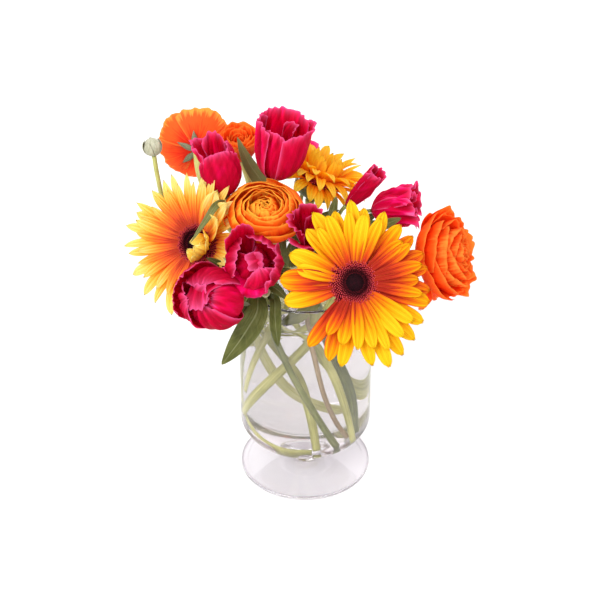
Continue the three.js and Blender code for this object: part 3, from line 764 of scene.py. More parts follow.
def floret_cone(rng, radius, bare):
    """Disc florets: small closed six-sided spikes, dark and short inside, long and leaning outside.

    They stand on a golden-angle spiral, as far out as the square root of their number, on a dome
    that is a cosine with a low ring added; outside the bare share their height and the cube of
    their place, which tilts them, grow towards the rim.
    """
    k = np.arange(FLORETS) + 0.5
    share = np.sqrt(k / FLORETS)
    angle = k * np.radians(GOLDEN_ANGLE)
    rim = np.clip((share - bare) / (1 - bare), 0, 1)
    tall = np.where(share < bare, 1.0, 1.7 + 1.9 * rim) * rng.uniform(0.8, 1.2, FLORETS)
    wide = np.where(share < bare, 0.42, 0.52)
    tilt = 0.10 + 0.95 * share ** 3 + rng.normal(0, 0.12, FLORETS) * (rim > 0)
    dome = 3.2 * np.cos(share * 1.18) + 0.9 * np.exp(-((share - 0.66) / 0.16) ** 2)
    rows = np.array([0.0, 0.55, 0.85, 1.0])
    girth = np.array([1.0, 0.95, 0.85, 0.35])
    out = np.stack([np.cos(angle), np.sin(angle), 0 * angle], 1)
    base = out * radius * share[:, None] + np.stack([0 * dome, 0 * dome, dome - 1.2], 1)
    axis = out * np.sin(tilt)[:, None] + np.cos(tilt)[:, None] * [0, 0, 1]
    first = np.stack([-np.sin(angle), np.cos(angle), 0 * angle], 1)
    second = np.cross(axis, first)
    sides = np.arange(6)[:, None] / 6 * TURN
    ring = np.cos(sides) * first[:, None] + np.sin(sides) * second[:, None]
    line = base[:, None] + axis[:, None] * (rows[None] * tall[:, None])[..., None]
    grid = line[:, :, None] + ring[:, None] * (girth[None] * wide[:, None])[:, :, None, None]
    return grid, np.clip(rim * 2.2, 0, 1)


def disc_cushion(radius):
    """The cushion under the florets: a low dome turned from six steps of radius and height."""
    share = np.array([1.0, 1.0, 0.85, 0.6, 0.3, 0.05])
    level = [0.0, 1.0, 1.9, 2.9, 3.4, 3.4]
    return turned_body(np.stack([share * radius, level], 1), 32)


def bract_cup(rng):
    """Two rows of narrow pointed bracts pressed together into a cup behind the rays.

    From foot to tip the way out is a sine and the height one minus a cosine; half a bract's
    width is a power of a sine, and its middle stands proud by the square across.
    """
    v = np.linspace(0, 1, 9)[None, :, None]
    u = np.linspace(-1, 1, 5)[None, None]
    half = 2.3 * np.sin(np.pi * (0.18 + 0.80 * v)) ** 0.8
    for row, (reach, out) in enumerate(((1.0, 0.0), (0.72, 0.7))):
        turn = np.radians((np.arange(BRACTS) + 0.5 * row) * 360 / BRACTS)[:, None, None]
        arc = v * reach * np.pi / 2
        away = BRACT_FOOT + (BRACT_REACH - BRACT_FOOT) * np.sin(arc) + out
        up = -BRACT_DEPTH + BRACT_DEPTH * 1.02 * (1 - np.cos(arc)) - out * 0.6
        turn = turn + u * half / away
        away = away + 0.35 * (1 - u ** 2) * (1 - v)
        grid = np.stack([away * np.cos(turn), away * np.sin(turn), up + 0 * turn], -1)
        yield grid[:, :, ::-1], rng.uniform(0.35, 0.65, BRACTS)


def gerbera(name, node, whorls, rng, finishes, ray, front=False):
    """A gerbera's head: whorls of rays (those of the first node, then the second), florets and bracts."""
    head = Head(f"{node}_florets", f"{node}_bracts", front)
    for rows, layer in zip(whorls, ("outer", "inner")):
        petals = [shells(head.place(ray_grid(**numbers)), RAY_THICK, tone) for numbers, tone in rows]
        make_piece(f"{name}_{layer}_petals", petals, finishes[ray], f"ray_{layer}", f"{node}_{layer}_rays")
    spikes, rim = floret_cone(rng, DISC_RADIUS, DARK_SHARE)
    middle = disc_cushion(8.6) - [0, 0, 0.9]
    wide = disc_cushion(14.2) - [0, 0, 1.6]
    disc = [rings_block(head.place(grid), tone)
            for grid, tone in ((spikes, rim), (wide, 0.35), (middle, 0.0))]
    make_piece(f"{name}_florets", disc, finishes["floret"], "florets", f"{node}_florets")
    cup = [shells(head.place(grid), BRACT_THICK, tone) for grid, tone in bract_cup(rng)]
    core = disc_cushion(12.5) * [1, 1, -2.6] - [0, 0, 2.0]
    cup.append(rings_block(head.place(core[:, :, ::-1]), 0.4))
    make_piece(f"{name}_bracts", cup, finishes["bract"], "bract", f"{node}_bracts")


def scatter(rng, values, amount, *shape):
    """Values with a small even scatter about them, repeated to fill the shape if one is given."""
    values = spread(values, *(shape or np.shape(values)))
    return values + rng.uniform(-amount, amount, values.shape)


def whorl(rng, angles, lengths, widths, lift, tip, level, tone, **extra):
    """The numbers of one whorl of rays, with the small differences that petals have."""
    count = len(angles)
    numbers = dict(
        angle=scatter(rng, angles, 2.0),
        length=scatter(rng, lengths, 1.6, count),
        width=scatter(rng, widths, 0.9, count),
        lift=scatter(rng, lift, 3, count),
        tip=scatter(rng, tip, 11, count),
        bend=rng.uniform(-11, 11, count),
        twist=rng.uniform(-18, 18, count),
        trough=rng.uniform(0.05, 0.55, count),
        level=level,
        shoulder=rng.uniform(0.5, 0.68, count),
        point=rng.uniform(0.6, 0.85, count))
    return numbers | extra, scatter(rng, tone, 0.08, count)


def blunt_whorl(rng, angles, *numbers):
    """A whorl of blunt, ridged and twisted rays."""
    count = len(angles)
    return whorl(rng, angles, *numbers, shoulder=rng.uniform(0.6, 0.76, count),
                 point=rng.uniform(0.38, 0.56, count), ridge=0.5, twist=rng.uniform(-24, 24, count))


def swept_whorl(rng, angles, length, width, lift, tip, level, tone, bend, bend_scatter):
    """A whorl that differs round the head, by three numbers: all round, added in front, added behind.

    What is added is a cosine of the angle from the front or the back, and nothing past a right angle.
    """
    front, back = (np.clip(np.cos(np.radians(np.array(angles) + turn)), 0, 1) for turn in (92, -100))
    length, lift, tip, bend = (all_round + in_front * front + behind * back
                               for all_round, in_front, behind in (length, lift, tip, bend))
    return whorl(rng, angles, length, width, lift, tip, level, tone, bend=scatter(rng, bend, bend_scatter))


# ------------------------------------------------------------------ the bouquet's flowers

def front_gerbera(finishes):
    """The large gerbera that faces the front; its rays part at the lower left and darken to the right as
    painted shade.
    """
    rng = np.random.default_rng(11)
    outer = blunt_whorl(
        rng, [86, 73, 59, 45, 31, 17, 3, -10, -23, -37, -50, -63, -76, -89, -103, -118, -132, -170, 172, 152,
              127, 113, 99],
        [54, 50, 51, 49, 50, 50, 51, 52, 54, 54, 56, 58, 60, 58, 57, 56, 51, 50, 51, 48, 49, 53, 49],
        [11.5, 10.5, 11, 11, 11.5, 12, 12, 12, 11.5, 11, 10.5, 10, 10.5, 10.5, 11, 11, 11, 14, 15, 13, 10.5,
         11.5, 10.5],
        4, -7, 0.0,
        # The tones: low on the right-hand rays, painted shade on the side away from the light.
        [0.62, 0.58, 0.50, 0.42, 0.28, 0.16, 0.12, 0.15, 0.34, 0.48, 0.56, 0.62, 0.62, 0.58, 0.46, 0.34, 0.22,
         0.58, 0.36, 0.58, 0.62, 0.65, 0.6])
    inner = blunt_whorl(
        rng, [92, 79, 66, 38, 24, 10, -4, -17, -44, -57, -70, -83, -96, -110, -124, 162, 119, 106],
        [46, 45, 46, 43, 44, 46, 43, 45, 47, 49, 50, 46, 45, 42, 40, 41, 45, 47], 9.4, 12, 4, 1.2,
        # The tones: low on the right-hand rays, painted shade as in the outer whorl.
        [0.62, 0.6, 0.55, 0.38, 0.26, 0.18, 0.16, 0.28, 0.55, 0.6, 0.6, 0.58, 0.5, 0.42, 0.3, 0.62, 0.62,
         0.62])
    gerbera("front_gerbera", "gerbera_front", ([outer], [inner]), rng, finishes, "front_ray")


def left_gerbera(finishes):
    """The gerbera on the left: long narrow rays to the left, short broad ones turned up on the right."""
    rng = np.random.default_rng(23)
    outer = whorl(
        rng, [62, 74, 87, 99, 112, 126, 139, 150, 163, 172, 184, 197, 209, 222, 236, 249, 262, 276, 290, -56,
              -42, -28, -14, 0, 14, 28, 44],
        [42, 46, 50, 49, 47, 50, 48, 51, 54, 54, 59, 57, 55, 59, 59, 56, 57, 51, 42, 32, 30, 30, 30, 30, 30,
         32, 36], 7.4,
        [6, 9, 13, 16, 18, 19, 20, 20, 20, 18, 17, 16, 15, 14, 12, 12, 12, 16, 18, 10, 4, 0, 0, 0, 0, 2, 4],
        [0, 0, 4, 6, 4, 0, -4, -8, -10, -12, -26, -22, -30, -36, -42, -40, -36, -20, 0, 10, 10, 10, 10, 10, 8,
         6, 2],
        0.0, 0.56)
    right = whorl(rng, [78, 60, 42, 20, -6, -34], [40, 40, 38, 33, 29, 27], [13, 14, 17, 16, 15, 13],
                  [14, 22, 34, 50, 58, 56], [18, 26, 44, 76, 96, 100], 0.4, 0.60, notch=1.2, ridge=0.45,
                  point=0.46, bend=[6, -8, 8, -6, 6, -8], rows=26, cols=17)
    inner = whorl(
        rng, [68, 80, 93, 106, 119, 133, 146, 158, 170, 180, 192, 205, 217, 230, 244, 258, 272],
        [36, 41, 43, 42, 44, 41, 44, 42, 45, 46, 44, 43, 45, 46, 44, 42, 38], 6.6,
        [10, 14, 19, 23, 26, 27, 27, 27, 26, 25, 24, 22, 21, 20, 18, 18, 22],
        [2, 4, 8, 10, 8, 4, 2, 0, -4, -8, -14, -14, -20, -26, -28, -24, -10], 1.4, 0.46)
    curled = whorl(rng, [22, -8, -34], [32, 32, 28], [12, 13, 11], [50, 44, 50], [166, 142, 176], 1.6, 0.60,
                   notch=1.2, ridge=0.6, point=0.46, bend=[14, -16, 10], twist=[-30, 24, -26], rows=26,
                   cols=17)
    gerbera("left_gerbera", "gerbera_left", ([outer, right], [inner, curled]), rng, finishes, "left_ray")


def back_gerbera(finishes):
    """The gerbera at the back: narrow rays, swept up behind, the front ones arching over to the right."""
    rng = np.random.default_rng(37)
    outer = swept_whorl(
        rng, [-96, -82, -70, -110, -126, -56, -42, -26, -10, 6, 22, 38, 54, 72, 90, 108, 128, 148, 168, 190,
              214],
        (37, -2, 3), 7.8, (34, -34, 0), (-6, -56, 0), 0.0, 0.56, (0, 26, -30), 10)
    middle = swept_whorl(
        rng, [-104, -86, -68, -50, -30, -10, 8, 28, 48, 68, 88, 110, 132, 154, 176, 198, 226, 240],
        (39, -1, 3), 7.4, (46, -12, 0), (6, -60, 0), 0.8, 0.56, (0, 34, -34), 12)
    inner = swept_whorl(
        rng, [-118, -94, -70, -46, -20, 14, 40, 64, 92, 126, 160, 196, 226],
        (35, 0, 2), 7.2, (60, -6, 0), (30, -64, 0), 1.4, 0.60, (0, 40, -40), 14)
    core = whorl(rng, [-108, -72, -40, -10, 24, 70, 120, 170, 210, 236], 27, 7.0, 66, 100, 1.8, 0.60,
                 start=8.0)
    whorls = ([outer, middle], [inner, core])
    gerbera("back_gerbera", "gerbera_back", whorls, rng, finishes, "back_ray", front=True)


# How far each ring of petals is turned past the one inside it, in degrees.
RING_TURN = 67.0
RING_SCATTER = 9


def rosette(rng, radii, petals, heights, close, start=0.0):
    """Rings of cup petals from the inmost out, each turned past the one inside it.

    Gives a table of angle, radius, height, closing, and the ring's place from 0 inside to 1 outside.
    """
    count = np.asarray(petals)
    ring = np.repeat(np.arange(len(radii)), count)
    within = np.arange(count.sum()) - np.repeat(np.cumsum(count) - count, count)
    uneven = rng.uniform(-RING_SCATTER, RING_SCATTER, len(ring))
    angle = start + ring * RING_TURN + within * 360 / count[ring] + uneven
    radii, heights, close = (np.asarray(values, float)[ring] for values in (radii, heights, close))
    return np.array([angle, radii, heights, close, ring / (len(count) - 1)])


def ringed_pieces(side, head, grid, fold, tone, ring, inner_from, outer_from, finish, hanging=()):
    """A full ranunculus as three pieces: outer petals with any that hang, inner petals and heart."""
    for piece, chosen in (("outer_petals", ring > outer_from),
                          ("inner_petals", (ring > inner_from) & (ring <= outer_from)),
                          ("heart", ring <= inner_from)):
        part = [shells(head.place(grid[chosen]), CUP_THICK, tone[chosen], fold[chosen])]
        if piece == "outer_petals":
            part.extend(hanging)
        slot = "ranunculus_heart" if piece == "heart" else "ranunculus_petal"
        make_piece(f"{side}_ranunculus_{piece}", part, finish, slot, f"ranunculus_{side}_{piece}")


def ranunculus_middle(finishes):
    """The full ranunculus in the middle: wide smooth petals lapping over each other round a closed heart.

    Its tone is yellower to one side by a cosine of the angle, as painted light, and deeper in the outer
    rings.
    """
    rng = np.random.default_rng(5)
    head = Head("ranunculus_middle_outer_petals", "ranunculus_middle_stem")
    radii = np.array([3.4, 5.2, 7.0, 8.8, 10.6, 13.0, 14.8, 16.8, 19.0, 21.4, 24.2, 27.2])
    heights = np.interp(radii, [3, 10.6, 13.0, 16.8, 20, 24.2, 27.2],
                        [19.4, 18.8, 20.8, 21.0, 19.6, 17.2, 14.2])
    close = np.interp(radii, [3, 10.6, 13.0, 20, 27.2], [1.86, 1.66, 1.42, 1.40, 1.34])
    angle, radius, height, shut, ring = rosette(rng, radii, [3] * 12, heights, close)
    count = len(angle)
    grid, fold = cup_grid(angle, np.interp(ring, [0, 1], [86, 72]), radius, height, close=shut,
                          base=0.6, spiral=0.07, fall=0.20, ruffle=0.22, lean=rng.uniform(-0.5, 0.5, count),
                          folds=(1.5, 3.5, 7), fold_sizes=(0.6, 0.3, 0.12), phase=rng.uniform(0, 6, count),
                          rows=20, cols=29)
    grid = grid * [1.0, 0.86, 1.0] - [0, 0.4, 0]
    # Painted light: petals turned to the upper left, where the light comes from, are given a yellower tone.
    painted_light_side = 0.5 - 0.5 * np.cos(np.radians(angle + 50))
    deeper = np.interp(ring, [0, 0.4, 0.7, 1], [0.26, 0.12, 0, -0.24])
    tone = scatter(rng, 0.26 + 0.30 * painted_light_side + deeper, 0.18)
    ringed_pieces("middle", head, grid, fold, tone, ring, 0.40, 0.72, finishes["ranunculus"])


def ranunculus_right(finishes):
    """The ranunculus on the right: broad ruffled petals, tall on its left, with one hanging down.

    Towards the heart the rings are set over to the far side, away from the tall petals.
    """
    rng = np.random.default_rng(8)
    head = Head("ranunculus_right_outer_petals", "ranunculus_right_stem")
    radii = np.array([3.6, 6.2, 9.0, 12.4, 16.4, 20.8, 25.4, 29.6])
    heights = np.interp(radii, [4, 9, 17, 24, 30], [22.0, 24.0, 25.0, 22.5, 18.0])
    close = np.interp(radii, [4, 10, 20, 30], [1.6, 1.34, 1.16, 1.0])
    angle, radius, height, shut, ring = rosette(rng, radii, [3, 3, 3, 4, 4, 5, 5, 5], heights, close, 20.0)
    near = np.cos(np.radians(angle - 160))
    grid, fold = cup_grid(angle, 240 / np.interp(ring, [0, 1], [3, 5]), radius, height * (1 + 0.22 * near),
                          close=shut + 0.14 * near, mouth=np.interp(ring, [0.2, 1], [0, 2.0]), base=0.6,
                          spiral=0.06, fall=0.14, ruffle=np.interp(ring, [0, 0.4, 1], [0.3, 1.0, 1.3]),
                          folds=(2, 4.5, 9), fold_sizes=(0.8, 0.28, 0.08),
                          phase=rng.uniform(0, 6, len(angle)), rows=20, cols=37)
    over = 8.5 * (1 - ring) ** 0.8
    rise = np.clip(grid[..., 2:] / 22, 0, 1.2)
    away = np.radians(-23)
    grid = grid + (over[:, None, None, None] * rise) * [np.cos(away), np.sin(away), 0]
    tone = scatter(rng, np.interp(ring, [0, 0.5, 1], [0.60, 0.46, 0.34]), 0.2) - 0.12 * near
    hanging = ray_grid([-102, -84], [41, 36], [21, 19], [-20, -12], [-40, -30], start=4.0, level=1.0,
                       trough=0.2, shoulder=0.62, point=0.4, ridge=0.5, notch=0.8, bend=[-4, 6],
                       twist=[4, -6])
    ringed_pieces("right", head, grid, fold, tone, ring, 0.4, 0.7, finishes["ranunculus_red"],
                  [shells(head.place(hanging), CUP_THICK, [0.46, 0.4])])


def cup_piece(side, part, head, grid, tone, fold, finish):
    """One piece of a small ranunculus: its outer petals, named as its petals, or its heart."""
    slot = "ranunculus_petal" if part == "petals" else "ranunculus_heart"
    node = "outer_petals" if part == "petals" else part
    make_piece(f"{side}_ranunculus_{part}", [shells(head.place(grid), CUP_THICK, tone, fold)], finish, slot,
               f"ranunculus_{side}_{node}")


def ranunculus_nodding(finishes):
    """The ranunculus that nods away: a few broad petals round a small heart, seen from behind."""
    rng = np.random.default_rng(17)
    head = Head("ranunculus_nodding_outer_petals", "ranunculus_nodding_sepals")
    grid, fold = cup_grid([100, 38, -28, -90, 214, 160], [44, 40, 40, 46, 42, 38],
                          [28.5, 28, 27, 27.5, 29, 28], 9.0, close=0.8, mouth=1.0,
                          base=[0.3, 1.0, 0.4, 1.1, 0.3, 1.0], spiral=0.03, fall=0.12, sharp=3.2, ruffle=0.35,
                          folds=(2, 5, 9), fold_sizes=(0.8, 0.4, 0.2), phase=rng.uniform(0, 6, 6), rows=22,
                          cols=33)
    tone = [0.56, 0.40, 0.34, 0.26, 0.62, 0.5]
    cup_piece("nodding", "petals", head, grid, tone, fold, finishes["ranunculus_thin"])
    angle, radius, height, shut, _ = rosette(rng, [2.0, 3.6, 5.4], [3, 4, 4], [5.0, 6.0, 6.5],
                                             [1.6, 1.4, 1.2])
    grid, fold = cup_grid(angle, 62, radius, height, close=shut, base=1.4,
                          phase=rng.uniform(0, 6, len(angle)))
    cup_piece("nodding", "heart", head, grid, 0.6, fold, finishes["ranunculus"])


def ranunculus_small(finishes):
    """The small half-open ranunculus at the back: a few smooth petals standing up."""
    rng = np.random.default_rng(29)
    head = Head("ranunculus_small_outer_petals", "ranunculus_small_stem")
    angle, radius, height, shut, _ = rosette(rng, [7.6, 9.6, 11.6, 13.4], [3, 3, 3, 3],
                                             [21.5, 23, 23.5, 21.5], [1.3, 1.16, 1.05, 0.95])
    grid, fold = cup_grid(angle, 66, radius, height, close=shut, mouth=0.8, base=0.3, fall=0.2, ruffle=0.25,
                          sharp=3.0, folds=(2, 5), fold_sizes=(0.35, 0.2),
                          phase=rng.uniform(0, 6, len(angle)), rows=20, cols=25)
    tone = scatter(rng, 0.42, 0.2, len(angle))
    cup_piece("small", "petals", head, grid, tone, fold, finishes["ranunculus_red"])
    angle, radius, height, shut, _ = rosette(rng, [2.4, 4.2, 5.9], [3, 3, 3], [16.0, 17.5, 18.5],
                                             [1.7, 1.5, 1.35])
    grid, fold = cup_grid(angle, 74, radius, height, close=shut, base=1.5,
                          phase=rng.uniform(0, 6, len(angle)))
    cup_piece("small", "heart", head, grid, 0.5, fold, finishes["ranunculus_red"])


# Each godetia bloom's spray, its seed and its petals, whose columns are those of silk_grid, then the tone.
GODETIAS = {
    "tulip": ("left", 3, [
        (-80, 80, 34, 14.6, "egg", 0.24, 0.03, 0.0, 0.0, 0.15, 0.45, 0.50),
        (178, 56, 42, 16.0, "funnel", 0.16, -0.05, 1.0, 2.0, 0.45, 0.60, 0.66),
        (96, 58, 43, 12.6, "funnel", 0.44, 0.05, 1.0, 1.0, 0.40, 0.70, 0.62),
        (12, 58, 37, 13.2, "egg", 0.22, 0.0, 0.5, 0.5, 0.25, 0.60, 0.52)]),
    "tall": ("middle", 4, [
        (88, 70, 46, 20.0, "goblet", 0.10, 0.0, 1.0, 1.0, 0.42, 0.60, 0.80),
        (-30, 62, 46, 21.0, "goblet", 0.10, 0.05, 0.5, 1.0, 0.30, 0.28, 0.58),
        (184, 54, 44, 19.0, "goblet", 0.08, 0.0, 2.0, 2.0, 0.55, 0.60, 0.78),
        (-122, 44, 41, 18.0, "upright", 0.16, 0.0, 1.5, 4.0, 0.30, 0.50, 0.74),
        (30, 58, 42, 9.0, "flare", 0.14, 0.0, 0.6, 1.2, 0.30, 0.60, 0.44)]),
    "rear": ("middle", 6, [
        (200, 52, 29, 10.5, "funnel", 0.42, 0.0, 0.5, 0.5, 0.15, 0.40, 1.5),
        (-20, 52, 28, 12.0, "funnel", 0.42, 0.0, 0.5, 0.5, 0.15, 0.40, 1.5),
        (90, 60, 30, 11.0, "funnel", 0.30, 0.0, 0.5, 0.5, 0.15, 0.40, 1.4)]),
    "rolled": ("right", 7, [
        (-100, 76, 38, 7.6, "upright", 0.12, 0.04, 0.0, 1.6, 0.22, 0.35, 0.52),
        (30, 66, 39, 8.6, "upright", 0.14, 0.0, 1.2, 1.2, 0.40, 0.50, 0.66),
        (150, 80, 40, 7.0, "upright", 0.12, 0.0, 0.5, 1.0, 0.35, 0.40, 0.50)]),
    "side": ("right", 9, [
        (-90, 62, 32, 15.6, "goblet", 0.14, 0.04, 1.5, 1.5, 0.65, 1.00, 1.16),
        (178, 60, 31, 15.6, "goblet", 0.12, 0.0, 1.0, 1.0, 0.75, 1.00, 1.16),
        (90, 60, 34, 15.4, "flare", 0.12, 0.0, 1.0, 1.0, 0.75, 0.70, 0.88),
        (0, 58, 31, 15.0, "flare", 0.12, 0.0, 1.0, 1.0, 0.85, 0.70, 0.92),
        (130, 62, 33, 9.6, "upright", 0.12, 0.0, 0.6, 1.2, 0.80, 0.70, 1.00),
        (-40, 62, 32, 8.0, "upright", 0.12, 0.0, 0.6, 1.2, 0.80, 0.70, 0.78)]),
    "folded": ("middle", 10, [
        (110, 66, 33, 13.0, "funnel", 0.16, 0.0, 0.5, 1.0, 0.45, 0.60, 0.22),
        (0, 62, 32, 12.0, "upright", 0.14, 0.0, 1.8, 0.5, 0.45, 0.60, 0.72),
        (195, 54, 30, 14.0, "flare", 0.14, 0.0, 0.5, 0.5, 0.40, 0.60, 0.34),
        (-100, 58, 17, 13.0, "flare", 0.10, -0.1, 0.5, 1.0, 0.25, 0.40, 0.50),
        (60, 60, 30, 7.0, "upright", 0.14, 0.0, 0.5, 1.0, 0.50, 0.60, 0.30)]),
    "open": ("left", 12, [
        (134, 42, 34, 25.0, "dish", 0.52, -0.04, 0.5, 0.5, 0.08, 0.40, 0.56),
        (66, 50, 27, 19.0, "egg", 0.20, 0.0, 0.5, 1.0, 0.10, 0.50, 0.44),
        (-6, 54, 28, 20.0, "egg", 0.20, 0.0, 1.0, 1.5, 0.12, 0.50, 0.60),
        (-108, 56, 20, 21.0, "drooping", 0.22, 0.0, 0.5, 0.5, 0.12, 0.35, 1.15),
        (-58, 46, 25, 17.5, "closed", 0.16, 0.0, 0.5, 0.5, 0.15, 0.40, 0.60),
        (176, 50, 25, 19.0, "egg", 0.20, 0.0, 0.5, 0.5, 0.10, 0.45, 0.50),
        (30, 60, 23, 12.0, "hood", 0.14, 0.0, 0.6, 1.2, 0.10, 0.50, 0.40),
        (-150, 60, 22, 12.0, "hood", 0.14, 0.0, 0.6, 1.2, 0.10, 0.50, 0.62)]),
    "low": ("left", 14, [
        (-150, 76, 36, 20.5, "shut", 0.20, 0.0, 0.0, 0.8, 0.25, 0.45, 0.50),
        (118, 58, 45, 25.0, "egg", 0.18, 0.0, 0.6, 0.6, 0.30, 0.60, 0.62),
        (48, 58, 38, 21.5, "closed", 0.18, 0.05, 0.6, 1.6, 0.30, 0.50, 0.40),
        (-56, 60, 33, 18.5, "closed", 0.14, 0.0, 1.0, 1.0, 0.40, 0.55, 0.80),
        (164, 54, 43, 20.0, "closed", 0.18, 0.0, 1.0, 1.0, 0.30, 0.60, 0.72),
        (-64, 58, 37, 15.5, "hood", 0.12, 0.0, 0.6, 1.2, 0.14, 0.60, 0.62),
        (174, 56, 39, 17.0, "hood", 0.14, 0.0, 0.6, 1.2, 0.14, 0.60, 0.44),
        (56, 60, 41, 18.5, "hood", 0.14, 0.0, 0.6, 1.2, 0.14, 0.60, 0.66)]),
}


def godetias(finishes):
    """The eight blooms of the three sprays: broad silky petals with folds and crinkled rims."""
    for bloom, (spray, seed, petals) in GODETIAS.items():
        rng = np.random.default_rng(seed)
        node = f"godetia_{bloom}_bloom"
        head = Head(node, f"godetia_{spray}_stem", front=True)
        grid, relief = silk_grid(rng, petals)
        tone = [row[11] for row in petals]
        bloom_shells = [shells(head.place(grid), SILK_THICK, tone, relief)]
        make_piece(f"{bloom}_godetia", bloom_shells, finishes["godetia"], "godetia_petal", node)


# ------------------------------------------------------------------ stems, buds and leaves

# Each flower stem's route from under its head to the bowl, as in the part.
ROUTES = {
    "gerbera_front": [(22, -35, 177), (12, -24, 148), (-2, -19, 122), (-22, -14, 88), (-38, -9, 58)],
    "gerbera_left": [(-45, -9, 179), (-38, -9, 166), (-31, -7, 140), (-21, 0, 105), (-7, 14, 70),
                     (9, 33, 42)],
    "gerbera_back": [(2, 26, 182), (9, 29, 158), (16, 29, 130), (25, 26, 90), (33, 19, 54)],
    "ranunculus_middle": [(-24, -6, 196), (-17, 0, 170), (-2, 2, 135), (12, -4, 100), (24, -16, 65),
                          (31, -23, 42)],
    "ranunculus_right": [(40, -3, 169), (14, 11, 140), (-16, 20, 110), (-36, 20, 88)],
    "ranunculus_nodding": [(-74, 27, 234), (-62, 22, 205), (-36, 17, 172), (-26, 15, 140), (-14, 11, 110),
                           (-4, 6, 88), (2, -3, 60), (6, -15, 34)],
    "ranunculus_small": [(-34, 37, 202), (-20, 31, 170), (-8, 31, 140), (0, 32, 110), (10, 32, 78),
                         (19, 33, 46)],
}
BUD_ROUTE = [(-105, 20, 254), (-103, 18, 238), (-98, 15, 214), (-85, 11, 194), (-58, 5, 182), (-39, 3, 168),
             (-32, 6, 135), (-29, 10, 105), (-32, 9, 74), (-36, -2, 51), (-30, -17, 41), (-14, -27, 36),
             (4, -30, 36.5)]
# Each godetia spray's main stem, and the twigs that leave it.
SPRAYS = {
    "left": ([(-34, -37, 188), (-27, -29, 168), (-20, -27, 140), (-10, -30, 110), (2, -29, 80), (12, -23, 52),
              (17, -15, 34)], [
        [(-33, -35, 185), (-38, -24, 198), (-50, -13, 222), (-54, -9.5, 239.5)],
        [(-33, -36, 186), (-37, -44, 196), (-38.2, -48.6, 204.6), (-37.2, -53.6, 209.6)],
        [(-33, -36, 186), (-39, -47, 184), (-44, -57, 182.5), (-48.4, -61.5, 186.5)],
        [(-33, -36, 186), (-31, -46, 192), (-29, -54, 193)],
        [(-33, -36, 186), (-35, -48, 190), (-37, -56, 192)]]),
    "middle": ([(-4, 8, 188), (0, 16, 166), (3, 22, 143), (7, 24, 120), (13, 21, 90), (20, 13, 60),
                (24, 5, 38)], [
        [(-3, 10, 184), (-17, 6, 202), (-25, 5, 226), (-22, 6, 243)],
        [(-2, 12, 180), (-5, 34, 184), (-3, 63, 192), (-1, 66, 203)],
        [(-4, 8, 186), (-4, -16, 190), (0, -40, 202), (1, -43, 216)]]),
    "right": ([(28, 15, 190), (28, 22, 168), (30, 20, 120), (34, 13, 85), (39, 2, 60), (40, -5, 50)], [
        [(28, 16, 187), (22, 8, 206), (25, 1, 221), (28, 0, 225.5)],
        [(28, 15, 188), (31, 15, 203), (39, 14.5, 211), (46, 14, 212.5)]]),
}
# Two side shoots of the middle spray, which have no node of their own: route, radius and finish, and tone.
SIDE_SHOOTS = {
    "pale": ([(-3, -20, 189), (-6, -18, 172), (-15, -16.5, 148), (-27, -15, 118), (-36, -13.5, 90),
              (-40.1, -13.2, 76)], 2.2, "pale_stem", 0.52),
    "brown": ([(-4, -13, 189), (-2, -14, 174), (0, -23, 150), (6, -32, 120), (12, -34, 90), (20, -27.5, 60),
               (26.5, -21.5, 42.5)], 1.7, "brown_stem", 0.5),
}
# Each flower stem's radius in mm, the part of the flower that it ends under, and its tone.
FLOWER_STEMS = {
    "gerbera_front": (3.1, "bracts", 0.46),
    "gerbera_left": (3.1, "bracts", 0.60),
    "gerbera_back": (3.1, "bracts", 0.36),
    "ranunculus_middle": (2.4, "sepals", 0.44),
    "ranunculus_right": (2.4, "sepals", 0.56),
    "ranunculus_nodding": (2.4, "sepals", 0.36),
    "ranunculus_small": (2.4, "outer_petals", 0.5),
}
SPRAY_TONES = {"left": 0.54, "middle": 0.42, "right": 0.62}
SPRAY_RADIUS = 2.3
TWIG_RADIUS = 1.4
BUD_STEM_RADIUS = 1.6


def end_centre(node, near):
    """The middle of a stem's end: the mean of the node's six corners nearest a point."""
    points = corners(node)
    order = np.argsort(np.linalg.norm(points - np.asarray(near, float), axis=1))
    return points[order[:6]].mean(0)


def stems(finishes):
    """The flower stems, the bud's stem, the three branched sprays and the two side shoots.

    Each is a tube on a smooth line. A flower stem's girth swells by a slow sine along it, and by
    an exponential under the head; its two ends come from its CAD node.
    """
    for flower, (radius, cup, tone) in FLOWER_STEMS.items():
        node = f"{flower}_stem"
        route = ROUTES[flower]
        top = end_centre(node, corners(f"{flower}_{cup}").mean(0))
        line = smooth_line([top, *route[:-1], end_centre(node, route[-1])], 90)
        share = np.linspace(0, 1, len(line))
        girth = radius * (1 + 0.03 * np.sin(9 * share) + 0.10 * np.exp(-share * 30))
        kind, number = flower.split("_")
        stem = [tube(line, girth, 16, tone)]
        make_piece(f"{number}_{kind}_stem", stem, finishes["pale_stem"], "pale_stem", node)
    stalk = tube(smooth_line(BUD_ROUTE, 120), BUD_STEM_RADIUS, 12, 0.36)
    make_piece("ranunculus_bud_stalk", [stalk], finishes["pale_stem"], "pale_stem", "ranunculus_bud_stem")
    for spray, (route, twigs) in SPRAYS.items():
        node = f"godetia_{spray}_stem"
        line = smooth_line([*route[:-1], end_centre(node, route[-1])], 90)
        branches = [tube(smooth_line(twig, 30), TWIG_RADIUS, 10, 0.55) for twig in twigs]
        make_piece(f"{spray}_godetia_stem", [tube(line, SPRAY_RADIUS, 12, SPRAY_TONES[spray]), *branches],
                   finishes["dark_stem"], "dark_stem", node)
    for name, (route, radius, finish, tone) in SIDE_SHOOTS.items():
        shoot = tube(smooth_line(route, 70), radius, 12, tone)
        make_piece(f"{name}_side_shoot", [shoot], finishes[finish], "pale_stem")


